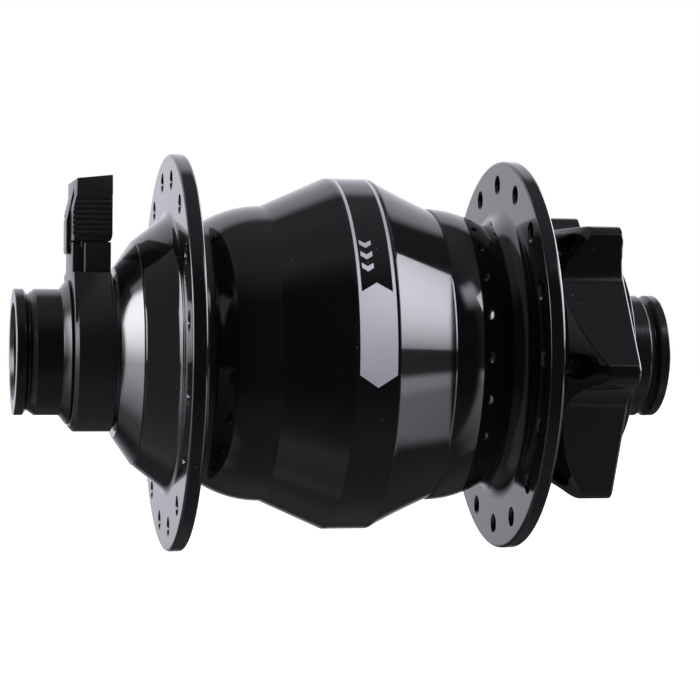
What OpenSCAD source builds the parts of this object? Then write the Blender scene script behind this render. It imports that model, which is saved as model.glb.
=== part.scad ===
// Front wheel hub with a built-in generator, for a through axle, a six-bolt brake rotor and spokes.
// The axle lies along Y with the rotor side at +Y, the lamp plug points up along +Z, and the
// origin is on the axle, midway between the two end faces. All sizes are millimetres.

/* [Axle] */
// Length over the two end faces
over_ends = 110; // [107:0.5:116]
// Bore for the through axle
axle_bore_d = 15.05; // [14.6:0.05:15.3]
// Height of the axle shoulder behind each bearing
shoulder_h = 0.8; // [0.5:0.05:1]
// Step from the left bearing seat down to the neck that carries the plug base
neck_step = 1; // [0.7:0.05:1.2]
// Diameter of the collar that the stator rests against
collar_d = 26; // [24:0.5:27]
// Width of that collar
collar_w = 2; // [1.5:0.1:2.2]
// Depth of metal left under the wire groove
groove_floor = 1.07; // [0.8:0.01:1.2]
// Length of thread past the stator nut
thread_past = 0.5; // [0.3:0.1:1]
// Width of the key that stops the plug base from turning
key_w = 3; // [2:0.1:4]
// Height of that key
key_h = 0.7; // [0.4:0.05:0.9]

/* [End caps] */
// Outer diameter of both end caps
cap_d = 20.8; // [20.3:0.1:21]
// Rim outside the groove
cap_rim_w = 1.45; // [1:0.05:1.6]
// Width of the groove around each cap
cap_groove_w = 1.95; // [1.4:0.05:2]
// Depth of that groove
cap_groove_h = 0.9; // [0.5:0.05:1]
// Share of the groove's width that its steep outer wall takes
cap_groove_lean = 0.36; // [0.2:0.02:0.5]
// Wall that closes each cap over the end of the axle
cap_end_wall = 3.6; // [3:0.1:4.2]
// Chamfer at the mouth of the bore
cap_mouth = 0.7; // [0.4:0.05:1]
// Left cap, from its end face to the plug base
left_cap_len = 9.1; // [8.6:0.1:11]
// Diameter of the flare at the inner end of the left cap
flare_d = 23.8; // [22.8:0.1:25]
// Length of the flare
flare_len = 1.4; // [1:0.05:1.6]
// Narrow neck between the flare and the plug base
flare_neck = 0.25; // [0.1:0.05:0.5]
// Thickness of the ring that grips the axle inside each cap
grip_ring_t = 0.7; // [0.5:0.05:0.8]
// Width of a sealing or gripping ring's groove, in ring thicknesses
grip_room = 1.2; // [1.1:0.05:1.4]

/* [Left bearing] */
// Bore of the left bearing
left_bearing_bore = 20; // [19.6:0.1:20.5]
// Outer diameter of the left bearing
left_bearing_od = 32; // [31.5:0.1:32.5]
// Width of the left bearing
left_bearing_w = 7; // [6.5:0.1:8]
// Ball diameter of the left bearing
left_ball_d = 3.5; // [3.2:0.05:3.6]
// Number of balls in the left bearing
left_balls = 14; // [9:1:14]

/* [Right bearing] */
// Bore of the right bearing
right_bearing_bore = 17; // [16.8:0.1:17.4]
// Outer diameter of the right bearing
right_bearing_od = 30; // [29.5:0.1:30.5]
// Width of the right bearing
right_bearing_w = 7; // [6.5:0.1:8]
// Ball diameter of the right bearing
right_ball_d = 3.97; // [3.5:0.05:4]
// Number of balls in the right bearing
right_balls = 11; // [8:1:11]

/* [Bearing details] */
// Half the gap between the inner and the outer ring
race_half = 1.25; // [1.1:0.05:1.3]
// Thickness of a ball cage
cage_t = 0.9; // [0.6:0.05:1]
// Width of a ball cage, in ball diameters
cage_share = 1.2; // [1.15:0.01:1.3]
// Thickness of a shield
shield_t = 0.5; // [0.3:0.05:0.6]
// Set-back of a shield from the bearing's face
shield_in = 0.2; // [0.1:0.05:0.3]
// Step between an outer ring's bore and the opening beside it
web_relief = 0.35; // [0.2:0.05:0.5]
// Height of an inner ring's face that shows above the spacer
spacer_step = 0.2; // [0.1:0.05:0.4]

/* [Plug base] */
// Diameter of the ring around the axle
base_d = 26.2; // [25.4:0.1:27]
// Width of the ring along the axle
base_w = 6.85; // [6.5:0.05:8]
// Chamfer on the outer edge of the ring
base_chamfer = 0.7; // [0.3:0.05:1]
// Chamfer on the inner edge of the ring
base_inner_chamfer = 0.3; // [0.1:0.05:0.5]
// Width of the foot at its top
foot_w = 17.6; // [16.6:0.2:19]
// Top of the foot above the axle's centre line
foot_top = 13.1; // [12.6:0.1:14]
// Depth to which the foot's sloping sides run into the ring
foot_sink = 0.25; // [0.15:0.05:0.5]
// Width of the tower
tower_w = 15.8; // [15:0.1:16]
// Thickness of the tower along the axle
tower_t = 6.1; // [5.8:0.05:6.4]
// Top of the tower above the axle's centre line
tower_top = 18; // [17.5:0.1:20]
// Thickness of the narrower outer plate of the tower
tower_plate_t = 1.8; // [1:0.1:2]
// Set-back of that plate on each side
tower_plate_in = 2; // [1:0.1:2.4]
// Width of the tongue that the plug slides over
tongue_w = 13.2; // [12.8:0.1:13.6]
// Thickness of the tongue
tongue_t = 3.4; // [3:0.1:3.6]
// Height of the tongue above the tower
tongue_h = 3.3; // [2.5:0.1:4]

/* [Plug] */
// Width of the plug
plug_w = 16.2; // [16:0.1:17]
// Thickness of the plug along the axle
plug_t = 6.35; // [6.2:0.05:7]
// Height of the ribbed sides
plug_grip_h = 7.6; // [7.4:0.1:9]
// Height of the plain head above the ribs, on the inner side
plug_head_h = 3.2; // [2.8:0.1:4]
// Set-back of the head from the ribbed part, on the outer side
plug_head_in = 0.5; // [0.3:0.05:1]
// Height of the slope between the two
plug_step_h = 0.7; // [0.4:0.05:1]
// Height of the plain skirt below the ribs
plug_skirt_h = 0.9; // [0.6:0.05:1.2]
// Taper of the skirt on the inner side
plug_skirt_in = 0.3; // [0.1:0.05:0.5]
// Fall of the top towards the outer side
plug_top_fall = 0.65; // [0.3:0.05:1]
// Number of grip ribs on each narrow side
plug_ribs = 8; // [4:1:9]
// Height of a grip rib
plug_rib_h = 0.3; // [0.15:0.05:0.4]
// Width of the latch on the outer face
latch_w = 5.2; // [4:0.1:6]
// Stand-out of the latch
latch_t = 0.7; // [0.5:0.05:1]
// Reach of the latch below the plug
latch_drop = 1.9; // [1:0.1:2.5]
// Top of the latch below the head
latch_below = 3.5; // [0.8:0.1:4]
// Height to which the latch's slope runs up the head
latch_rise = 1.4; // [0.6:0.1:2]
// Spacing of the two contact blades
blade_pitch = 7.2; // [7:0.1:7.4]
// Width of a contact blade
blade_w = 4.2; // [4:0.1:4.4]
// Thickness of a contact blade
blade_t = 0.8; // [0.6:0.05:0.9]
// Height of a blade above the tongue
blade_h = 3; // [2:0.1:3.2]
// Depth of a blade's foot below the top of the tower
blade_depth = 4; // [3.8:0.1:4.4]
// Height of that foot
blade_foot_h = 1.6; // [1.2:0.1:2]
// Wall of the spring sleeve that grips a blade
sleeve_wall = 0.35; // [0.25:0.05:0.4]
// Hole for each lamp wire
wire_hole_d = 2.2; // [1.8:0.1:2.6]

/* [Lead wires] */
// Diameter of a lead wire
lead_d = 1.1; // [0.9:0.05:1.15]
// Spacing of the two lead wires
lead_pitch = 1.5; // [1.45:0.05:1.6]
// Bend radius of a lead wire
lead_bend = 1.5; // [1.2:0.1:1.8]
// Play of the wires in their groove
lead_play = 0.1; // [0.05:0.01:0.15]
// Height of the wires above the coil's inner side where they leave it
lead_exit_h = 1.4; // [1.3:0.1:1.8]
// Distance between the collar and the wires that pass it
lead_past = 2; // [1.8:0.1:2.5]

/* [Left cover] */
// Length of the cover's cone along the axle
cover_len = 3.35; // [3:0.05:4.5]
// Wall of the cover at the plug base, outside its bore
cover_lip = 1.75; // [0.65:0.05:2.2]
// Wall of the cover at the shell, outside the bearing's seat
cover_wall = 2.65; // [2:0.05:2.9]
// Length of the spigot that holds the bearing in
cover_spigot = 1; // [0.6:0.1:1.5]
// Thickness of the dust seal inside the cover
left_seal_w = 1.5; // [1:0.1:1.6]
// Gap between that seal and the bearing
left_seal_gap = 0.6; // [0.4:0.05:0.8]

/* [Flanges] */
// Diameter of both flanges
flange_d = 66; // [64:0.5:70]
// Thickness of both flanges
flange_t = 2.5; // [2.2:0.05:3.2]
// Rounding of the flange rims
flange_round = 0.55; // [0.3:0.05:0.8]
// Left flange, from mid-length to the middle of its thickness
left_flange_at = 28.6; // [28:0.1:30]
// Right flange, from mid-length to the middle of its thickness
right_flange_at = 28.3; // [27:0.1:29]
// From a flange's rim in to the circle through its spoke holes
spoke_inset = 4; // [3.5:0.05:4.5]
// Spoke holes in each flange
spokes_a_side = 16; // [10:1:20]
// Spoke hole
spoke_hole_d = 2.6; // [2.3:0.05:2.8]
// Chamfer around each spoke hole
spoke_chamfer = 0.4; // [0.1:0.05:0.5]
// Angle of the first spoke hole in the right flange
spoke_phase = -0.9; // [-11:0.1:11]

/* [Shell] */
// Diameter of the band around the middle
band_d = 59; // [58.6:0.1:62]
// Width of that band
band_w = 7.2; // [6.8:0.1:8]
// Length of the cone on each side of the band
cone_len = 10.6; // [10:0.1:11]
// Diameter where each cone meets its dome
waist_d = 49.4; // [49:0.1:50.5]
// Step from the end of the right cone up to its dome
waist_step = 0.5; // [0.2:0.05:0.8]
// Diameter at the foot of the left dome
left_foot_d = 44; // [43:0.1:45]
// Diameter at the foot of the right dome
right_foot_d = 44.8; // [44:0.1:46]
// From the foot of the left dome to its flange
left_root = 3.55; // [3:0.05:4]
// From the foot of the right dome to its flange
right_root = 4.25; // [3.5:0.05:5]
// Wall of the domes
shell_wall = 2.3; // [1.8:0.05:2.5]
// Step from the cover out to the nose where they meet
nose_step = 0.25; // [0.1:0.05:0.6]
// Diameter that the nose cone aims for at the flange
nose_root_d = 46; // [44.5:0.1:47]
// Fillet between the nose and the flange
nose_fillet = 2; // [1:0.1:2.4]
// Web that each bearing rests against
bearing_web = 2; // [1.5:0.1:2.2]
// Length of the spigot that joins the two halves
spigot_len = 6.4; // [5:0.1:7]
// Wall of that spigot
spigot_wall = 1.7; // [1.5:0.05:1.8]
// Thickness of the sealing ring between the halves
joint_ring_t = 0.75; // [0.6:0.05:0.8]

/* [Rotor mount] */
// From the right end face in to the rotor's seat
seat_from_end = 10.5; // [10:0.1:11]
// Circle through the rotor bolts
bolt_circle_d = 44; // [43.5:0.1:44.5]
// Rotor bolts
rotor_bolts = 6; // [3:1:6]
// Bolt thread's core
bolt_core_d = 4.2; // [3.6:0.1:4.5]
// Metal left between a bolt hole's end and the flange
bolt_floor = 4; // [3:0.1:5]
// Diameter of the register that centres the rotor
register_d = 34; // [33.8:0.1:35]
// Height of the register
register_h = 2.1; // [1.8:0.1:2.6]
// Chamfer around the register
register_chamfer = 0.3; // [0.1:0.05:0.5]
// Diameter of the mount between its lobes
core_d = 41.6; // [41:0.1:42.5]
// Rounding of a lobe's tip
lobe_tip_r = 2.35; // [2.2:0.05:2.8]
// Distance of a lobe's tip centre from the axle
lobe_reach = 23.8; // [23.1:0.1:24]
// Hollow on the steep side of a lobe
lobe_hollow_r = 8; // [6:0.5:10]
// Lead of the bolt hole over the lobe's tip, in degrees
lobe_lead = 1.5; // [0:0.5:2]
// Angle of the first lobe
lobe_phase = -6; // [-30:0.5:30]
// Length over which a lobe has its full height
lobe_full = 5.4; // [3:0.1:6]
// Angle of the slope behind the lobes
lobe_slope = 45; // [35:1:60]
// Thickness of the dust seal outside the right bearing
right_seal_w = 1.1; // [0.8:0.1:1.2]
// Step down of the right end cap where that seal runs on it
right_seal_step = 0.3; // [0.2:0.05:0.5]

/* [Generator] */
// Magnetic poles
poles = 28; // [20:2:28]
// Length of the magnets along the axle
magnet_len = 15; // [14:0.5:15.5]
// Thickness of the magnets
magnet_t = 2; // [1.8:0.05:2.2]
// Gap between neighbouring magnets, in degrees
magnet_gap = 0.6; // [0.3:0.1:1.5]
// Inner diameter of the magnet ring
magnet_bore = 44.2; // [44:0.1:44.4]
// Thickness of the steel ring behind the magnets
yoke_t = 1.5; // [1.3:0.05:1.6]
// Air gap between stator and magnets
air_gap = 0.4; // [0.3:0.05:0.6]
// Length of the stator past the magnets on each side
stator_past = 0.5; // [0.3:0.1:0.8]
// Thickness of a claw plate
claw_t = 2; // [1.5:0.1:2.2]
// Thickness of a claw finger
finger_t = 1.5; // [1:0.1:1.6]
// Share of a pole that a claw finger covers
finger_share = 0.66; // [0.5:0.02:0.75]
// Distance of a finger's tip from the end of the magnets
finger_short = 0.7; // [0.5:0.1:1.5]
// Gap between the fingers and what lies under them
finger_gap = 0.3; // [0.2:0.05:0.4]
// Wall of the stator's core sleeve
core_wall = 2.8; // [2:0.1:3]
// Wall of the coil bobbin
bobbin_wall = 0.7; // [0.5:0.05:0.9]
// Thickness of the coil
coil_t = 5.8; // [4:0.1:5.9]
// Width of the nut that holds the stator
nut_w = 4; // [3:0.1:5]
// Width of that nut across its flats
nut_flats = 25; // [23:0.5:27]

/* [Fits] */
// Clearance between pieces fixed to each other
fit = 0.02; // [0.01:0.005:0.04]
// Clearance of a ball in its races
ball_gap = 0.06; // [0.04:0.01:0.08]
// Clearance of the plug on its tongue and blades
plug_gap = 0.12; // [0.08:0.01:0.15]
// Small chamfer on turned edges
edge_break = 0.2; // [0.1:0.05:0.3]
// Clearance between what turns and what stands still
running_gap = 0.4; // [0.3:0.05:0.5]

/* [Hidden] */
round_fn = 96;
// How far joined shapes run into each other, and cuts run past a surface
lap = 0.5;
cut = 1;
// How far the sides of the lobes run into the mount's core, so that they cross it
side_in = 0.05;

// Places along the axle, from the left end to the right end
end_at = over_ends / 2;
base_l = -end_at + left_cap_len;
base_r = base_l + base_w;
cover_l = base_r + running_gap;
seam_y = cover_l + cover_len;
lb_l = seam_y + cover_spigot;
lb_r = lb_l + left_bearing_w;
left_web_r = lb_r + bearing_web;
left_flange_out = -left_flange_at - flange_t / 2;
left_flange_in = -left_flange_at + flange_t / 2;
right_flange_in = right_flange_at - flange_t / 2;
right_flange_out = right_flange_at + flange_t / 2;
band_y = band_w / 2;
waist_y = band_y + cone_len;
left_foot_y = -left_flange_in - left_root;
right_foot_y = right_flange_in - right_root;
spigot_y = band_y - spigot_len;
seat_y = end_at - seat_from_end;
register_y = seat_y + register_h;
rb_r = register_y - right_seal_w - fit;
rb_l = rb_r - right_bearing_w;
right_web_l = rb_l - bearing_web;
axle_end = end_at - cap_end_wall;
grip_ring_y = axle_end - grip_ring_t * 2;

// Radii of the axle and of what sits on it
bore_r = axle_bore_d / 2;
left_seat_r = left_bearing_bore / 2;
right_seat_r = right_bearing_bore / 2;
neck_r = left_seat_r - neck_step;
left_shoulder_r = left_seat_r + shoulder_h;
right_shoulder_r = right_seat_r + shoulder_h;
cap_r = cap_d / 2;
flare_neck_r = (cap_r + flare_d / 2) / 2;
grip_half = grip_ring_t * grip_room / 2;
seal_land_r = cap_r - right_seal_step;

// Bearings: pitch circles of the balls, and what lies beside the rings
left_pitch_r = (left_bearing_bore + left_bearing_od) / 4;
right_pitch_r = (right_bearing_bore + right_bearing_od) / 4;
spacer_r = left_pitch_r - race_half - spacer_step;
web_bore_l = left_pitch_r + race_half + web_relief;
web_bore_r = right_pitch_r + race_half + web_relief;
left_seal_l = lb_l - left_seal_gap - left_seal_w;

// The cover over the left bearing, the nose that meets it, and the spoke circle
cover_bore = spacer_r + 2 * running_gap;
cover_small_r = cover_bore + cover_lip;
cover_large_r = left_bearing_od / 2 + cover_wall;
nose_r = cover_large_r + nose_step;
spoke_circle_r = flange_d / 2 - spoke_inset;

// Generator, from the magnets in to the axle
magnet_r = magnet_bore / 2;
yoke_in = magnet_r + magnet_t + fit;
yoke_out = yoke_in + yoke_t;
pocket_r = yoke_out + fit;
magnet_y = magnet_len / 2;
spigot_r = pocket_r + spigot_wall;
stator_r = magnet_r - air_gap;
stator_y = magnet_y + stator_past;
plate_y = stator_y + claw_t;
finger_in = stator_r - finger_t;
finger_end = magnet_y - finger_short;
stator_bore = left_seat_r + fit;
core_r = stator_bore + core_wall;
bobbin_in = core_r + fit;
bobbin_r = bobbin_in + bobbin_wall;
coil_in = bobbin_r + fit;
coil_r = coil_in + coil_t;
bobbin_lip = finger_in - finger_gap;
pole_angle = 360 / poles;
cavity_r = waist_d / 2 - shell_wall;
nut_y = plate_y + nut_w;

// Wire route: along a groove in the axle, up into the plug base
tower_y = base_l + tower_t / 2;
lead_r = lead_d / 2;
lead_z = bore_r + groove_floor + lead_r + fit;
lead_slot = lead_pitch + lead_d + 2 * lead_play;
lead_exit_z = coil_in + lead_exit_h;
lead_drop_y = -plate_y - collar_w - lead_past;
blade_foot_z = tower_top - blade_depth;

// Plug, from its lower edge to its top
plug_z = tower_top + plug_gap;
plug_head_z = plug_z + plug_grip_h;
plug_top_z = plug_head_z + plug_head_h;
plug_l = base_l;
plug_r = plug_l + plug_t;
rib_pitch = (plug_grip_h - plug_skirt_h) / plug_ribs;
tongue_top = tower_top + tongue_h;
blade_top = tongue_top + blade_h;
sleeve_w = blade_w + 2 * (plug_gap + sleeve_wall);
sleeve_t = blade_t + 2 * (plug_gap + sleeve_wall);
sleeve_z = tongue_top + plug_gap;
sleeve_top = blade_top + plug_gap;
wire_hole_z = sleeve_top + plug_gap;

// Angle of the nose cone against the axle
nose_a = atan2(nose_root_d / 2 - nose_r, left_flange_out - seam_y);

// Points along an arc in [radius, place] form; angles run from +Y towards outwards
function arc(centre_r, centre_y, rad, from, to, steps) =
    [for (i = [0 : steps]) let (a = from + (to - from) * i / steps)
        [centre_r + rad * sin(a), centre_y + rad * cos(a)]];

// The outline from a cone's end over the dome and down into the fillet at the flange
function dome(waist_r, foot_y, foot_r, flange_y) =
    let (run = foot_y - waist_y, fall = waist_r - foot_r)
    let (rad = (run * run + fall * fall) / (2 * fall))
    let (tilt = asin(run / rad), root = (flange_y - foot_y) / (1 + sin(tilt)))
    concat(
        arc(waist_r - rad, waist_y, rad, 90, 90 - tilt, 12),
        arc(foot_r + root * cos(tilt), flange_y - root, root, 270 - tilt, 360, 10));

// The rounded rim of a flange between two places along the axle
function rim(y0, y1) = concat(
    arc(flange_d / 2 - flange_round, y0 + flange_round, flange_round, 180, 90, 5),
    arc(flange_d / 2 - flange_round, y1 - flange_round, flange_round, 90, 0, 5));

// The same outline on the other side of mid-length, in the opposite order
function mirrored(points) =
    [for (i = [len(points) - 1 : -1 : 0]) [points[i][0], -points[i][1]]];

// Turns a profile of [radius, place] points about the axle
module turned(profile) {
    rotate([-90, 0, 0]) rotate_extrude($fn = round_fn) polygon(profile);
}

// A plain ring about the axle
module ring(r_in, r_out, y0, y1) {
    turned([[r_in, y0], [r_out, y0], [r_out, y1], [r_in, y1]]);
}

// A ring of round section about the axle
module round_ring(mid_r, y, section_d) {
    rotate([-90, 0, 0]) rotate_extrude($fn = round_fn)
        translate([mid_r, y]) circle(d = section_d, $fn = 32);
}

// A sector about the axle of a profile of [radius, place] points, from angle a over w degrees
module sector(profile, a, w) {
    rotate([0, -a, 0]) rotate([-90, 0, 0]) rotate_extrude(angle = w, $fn = round_fn) polygon(profile);
}

// A flat outline, drawn in X and Z, extruded from y0 to y1
module slab(y0, y1) {
    translate([0, y1, 0]) rotate([90, 0, 0]) linear_extrude(y1 - y0) children();
}

// A block between two corners
module block(low, high) {
    translate(low) cube(high - low);
}

// A straight round bar along the axle
module bar_y(x, z, y0, y1, d) {
    translate([x, y0, z]) rotate([-90, 0, 0]) cylinder(d = d, h = y1 - y0, $fn = 32);
}

// Spoke holes through a flange, chamfered on both faces
module spoke_holes(y0, y1, phase) {
    hole_r = spoke_hole_d / 2;
    mouth_r = hole_r + spoke_chamfer;
    for (i = [0 : spokes_a_side - 1])
        rotate([0, -(phase + i * 360 / spokes_a_side), 0])
            translate([spoke_circle_r, 0, 0])
                turned([
                    [0, y0 - cut], [mouth_r, y0 - cut], [mouth_r, y0], [hole_r, y0 + spoke_chamfer],
                    [hole_r, y1 - spoke_chamfer], [mouth_r, y1], [mouth_r, y1 + cut], [0, y1 + cut]]);
}

// Pieces that stand still with the axle

module axle_tube() {
    color("dimgray") difference() {
        turned([
            [bore_r, -axle_end], [neck_r, -axle_end], [neck_r, base_r], [left_seat_r, base_r],
            [left_seat_r, lb_r], [left_shoulder_r, lb_r], [left_shoulder_r, -plate_y - collar_w],
            [collar_d / 2, -plate_y - collar_w], [collar_d / 2, -plate_y], [left_seat_r, -plate_y],
            [left_seat_r, nut_y + thread_past], [right_shoulder_r, nut_y + thread_past],
            [right_shoulder_r, rb_l], [right_seat_r, rb_l], [right_seat_r, axle_end], [bore_r, axle_end]]);
        block([-lead_slot / 2, tower_y - lead_r - lead_play, bore_r + groove_floor],
            [lead_slot / 2, lead_drop_y + lead_r + lead_play, left_shoulder_r + cut]);
        block([-key_w / 2, -axle_end - cut, -neck_r - cut], [key_w / 2, base_r, -neck_r + key_h]);
    }
}

// An end cap's outline by distance from its end face, for an axle of the given radius
function cap_profile(axle_r, inner_end) = concat(
    [[bore_r, cap_end_wall], [bore_r, cap_mouth], [bore_r + cap_mouth, 0], [cap_r - edge_break, 0],
        [cap_r, edge_break], [cap_r, cap_rim_w],
        [cap_r - cap_groove_h, cap_rim_w + cap_groove_w * cap_groove_lean],
        [cap_r, cap_rim_w + cap_groove_w]],
    inner_end,
    [[axle_r + fit, end_at - grip_ring_y + grip_half],
        [axle_r + 2 * fit + grip_ring_t, end_at - grip_ring_y + grip_half],
        [axle_r + 2 * fit + grip_ring_t, end_at - grip_ring_y - grip_half],
        [axle_r + fit, end_at - grip_ring_y - grip_half],
        [axle_r + fit, cap_end_wall]]);

module left_end_cap() {
    flare_end = left_cap_len - flare_neck;
    profile = cap_profile(neck_r, [
        [cap_r, flare_end - flare_len], [flare_d / 2, flare_end - edge_break], [flare_d / 2, flare_end],
        [flare_neck_r, flare_end], [flare_neck_r, left_cap_len], [neck_r + fit, left_cap_len]]);
    color([0.09, 0.09, 0.1]) turned([for (p = profile) [p[0], p[1] - end_at]]);
}

module right_end_cap() {
    profile = cap_profile(right_seat_r, [
        [cap_r, end_at - register_y], [seal_land_r, end_at - register_y],
        [seal_land_r, end_at - rb_r], [right_seat_r + fit, end_at - rb_r]]);
    color([0.09, 0.09, 0.1]) turned([for (p = profile) [p[0], end_at - p[1]]]);
}

module end_cap_grip_rings() {
    color([0.05, 0.05, 0.05]) {
        round_ring(neck_r + fit + grip_ring_t / 2, -grip_ring_y, grip_ring_t);
        round_ring(right_seat_r + fit + grip_ring_t / 2, grip_ring_y, grip_ring_t);
    }
}

module left_bearing_spacer() {
    color("silver") ring(left_seat_r + fit, spacer_r, base_r, lb_l);
}

module plug_base() {
    ring_r = base_d / 2;
    tower_r = base_l + tower_t;
    root_a = atan2(foot_top, foot_w / 2) - acos(ring_r / norm([foot_w / 2, foot_top]));
    root_x = (ring_r - foot_sink) * cos(root_a);
    root_z = (ring_r - foot_sink) * sin(root_a);
    color([0.07, 0.07, 0.075]) difference() {
        union() {
            turned([
                [0, base_l], [ring_r - base_chamfer, base_l], [ring_r, base_l + base_chamfer],
                [ring_r, base_r - base_inner_chamfer], [ring_r - base_inner_chamfer, base_r], [0, base_r]]);
            slab(base_l, tower_r) polygon([
                [-root_x, root_z], [root_x, root_z], [foot_w / 2, foot_top], [-foot_w / 2, foot_top]]);
            block([-tower_w / 2, base_l + tower_plate_t, 0], [tower_w / 2, tower_r, tower_top]);
            block([tower_plate_in - tower_w / 2, base_l, 0],
                [tower_w / 2 - tower_plate_in, tower_r, tower_top]);
            block([-tongue_w / 2, tower_y - tongue_t / 2, 0],
                [tongue_w / 2, tower_y + tongue_t / 2, tongue_top]);
        }
        difference() {
            ring(0, neck_r + fit, base_l - cut, base_r + cut);
            block([fit - key_w / 2, base_l, -neck_r - cut],
                [key_w / 2 - fit, base_r, key_h - neck_r - fit]);
        }
        block([-lead_slot / 2, tower_y - lead_r - lead_play, 0],
            [lead_slot / 2, base_r + cut, lead_z + lead_r + lead_play]);
        block([-lead_slot / 2, tower_y - lead_r - lead_play, 0],
            [lead_slot / 2, tower_y + lead_bend, blade_foot_z]);
        for (side = [-1, 1]) blade(side, fit);
    }
}

// One contact blade with the foot that its lead wire joins, grown by a clearance
module blade(side, grow) {
    mid = side * blade_pitch / 2;
    foot_in = lead_pitch / 2 - lead_r;
    block([mid - blade_w / 2 - grow, tower_y - blade_t / 2 - grow, blade_foot_z],
        [mid + blade_w / 2 + grow, tower_y + blade_t / 2 + grow, blade_top + grow]);
    block([min(side * foot_in, mid) - grow, tower_y - blade_t / 2 - grow, blade_foot_z],
        [max(side * foot_in, mid) + grow, tower_y + blade_t / 2 + grow, blade_foot_z + blade_foot_h + grow]);
}

module contact_blades() {
    color("gold") for (side = [-1, 1]) blade(side, 0);
}

// A quarter bend in the Y-Z plane: centre, then the angle at which it starts
module lead_bend_at(x, y, z, start) {
    translate([x, y, z]) rotate([0, 90, 0]) rotate([0, 0, start])
        rotate_extrude(angle = 90, $fn = 64) translate([lead_bend, 0]) circle(r = lead_r, $fn = 32);
}

module lead_wires() {
    up_y = tower_y;
    color("firebrick") for (side = [-1, 1]) {
        x = side * lead_pitch / 2;
        bar_y(x, lead_exit_z, lead_drop_y + lead_bend, -stator_y + bobbin_wall + fit, lead_d);
        lead_bend_at(x, lead_drop_y + lead_bend, lead_exit_z - lead_bend, 180);
        translate([x, lead_drop_y, lead_z + lead_bend])
            cylinder(r = lead_r, h = lead_exit_z - lead_z - 2 * lead_bend, $fn = 32);
        lead_bend_at(x, lead_drop_y - lead_bend, lead_z + lead_bend, 0);
        bar_y(x, lead_z, up_y + lead_bend, lead_drop_y - lead_bend, lead_d);
        lead_bend_at(x, up_y + lead_bend, lead_z + lead_bend, 270);
        translate([x, up_y, lead_z + lead_bend])
            cylinder(r = lead_r, h = blade_foot_z - lead_z - lead_bend, $fn = 32);
    }
}

module stator_core() {
    color("slategray") ring(stator_bore, core_r, -stator_y, stator_y);
}

// A claw plate: a cup about the coil, open towards side +1 or -1, whose wall is cut into fingers
module claw_plate(side, phase) {
    web_r = finger_in - finger_gap;
    width = pole_angle * finger_share;
    y0 = -side * plate_y;
    y1 = -side * stator_y;
    tip = side * finger_end;
    difference() {
        turned([
            [stator_bore, y0], [stator_r, y0], [stator_r, tip], [finger_in, tip], [finger_in, y1],
            [stator_bore, y1]]);
        for (i = [0 : poles / 2 - 1])
            sector([
                [web_r, y0 - side * cut], [stator_r + cut, y0 - side * cut],
                [stator_r + cut, tip + side * cut], [web_r, tip + side * cut]],
                phase + width + i * 2 * pole_angle, 2 * pole_angle - width);
    }
}

module left_claw_plate() {
    color("lightslategray") difference() {
        claw_plate(1, 0);
        bar_y(0, lead_exit_z, -plate_y - cut, -stator_y + cut, lead_slot);
    }
}

module right_claw_plate() {
    color("lightslategray") claw_plate(-1, pole_angle);
}

module coil_bobbin() {
    side_y = stator_y - fit;
    inner_y = stator_y - bobbin_wall;
    color("ivory") difference() {
        turned([
            [bobbin_in, -side_y], [bobbin_lip, -side_y], [bobbin_lip, -inner_y], [bobbin_r, -inner_y],
            [bobbin_r, inner_y], [bobbin_lip, inner_y], [bobbin_lip, side_y], [bobbin_in, side_y]]);
        bar_y(0, lead_exit_z, -stator_y - cut, fit - inner_y, lead_slot);
    }
}

module copper_coil() {
    coil_y = stator_y - bobbin_wall - fit;
    color("chocolate") ring(coil_in, coil_r, -coil_y, coil_y);
}

module stator_nut() {
    color("gray") difference() {
        slab(plate_y, nut_y) circle(d = nut_flats / cos(30), $fn = 6);
        ring(0, stator_bore, plate_y - cut, nut_y + cut);
    }
}

// The parts of a ball bearing: rings with a groove for the balls, balls, cage and shields
module race(r_in, r_out, pitch_r, ball_d, y0, y1) {
    difference() {
        ring(r_in, r_out, y0, y1);
        round_ring(pitch_r, (y0 + y1) / 2, ball_d + 2 * ball_gap);
    }
}

module balls(pitch_r, y, d, count) {
    for (i = [0 : count - 1])
        rotate([0, i * 360 / count, 0]) translate([pitch_r, y, 0]) sphere(d = d, $fn = 48);
}

module cage(pitch_r, y, ball_d, count) {
    half_w = ball_d * cage_share / 2;
    difference() {
        ring(pitch_r - cage_t / 2, pitch_r + cage_t / 2, y - half_w, y + half_w);
        for (i = [0 : count - 1])
            rotate([0, i * 360 / count, 0]) translate([pitch_r - cage_t, y, 0])
                rotate([0, 90, 0]) cylinder(d = ball_d + 2 * ball_gap, h = 2 * cage_t, $fn = 48);
    }
}

module shields(pitch_r, y0, y1) {
    lip = pitch_r - race_half + running_gap;
    ring(lip, pitch_r + race_half - fit, y0 + shield_in, y0 + shield_in + shield_t);
    ring(lip, pitch_r + race_half - fit, y1 - shield_in - shield_t, y1 - shield_in);
}

module left_bearing_inner_ring() {
    color("lightgray")
        race(left_seat_r + fit, left_pitch_r - race_half, left_pitch_r, left_ball_d, lb_l, lb_r);
}

module right_bearing_inner_ring() {
    color("lightgray")
        race(right_seat_r + fit, right_pitch_r - race_half, right_pitch_r, right_ball_d, rb_l, rb_r);
}

// Pieces that turn with the shell

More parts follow.
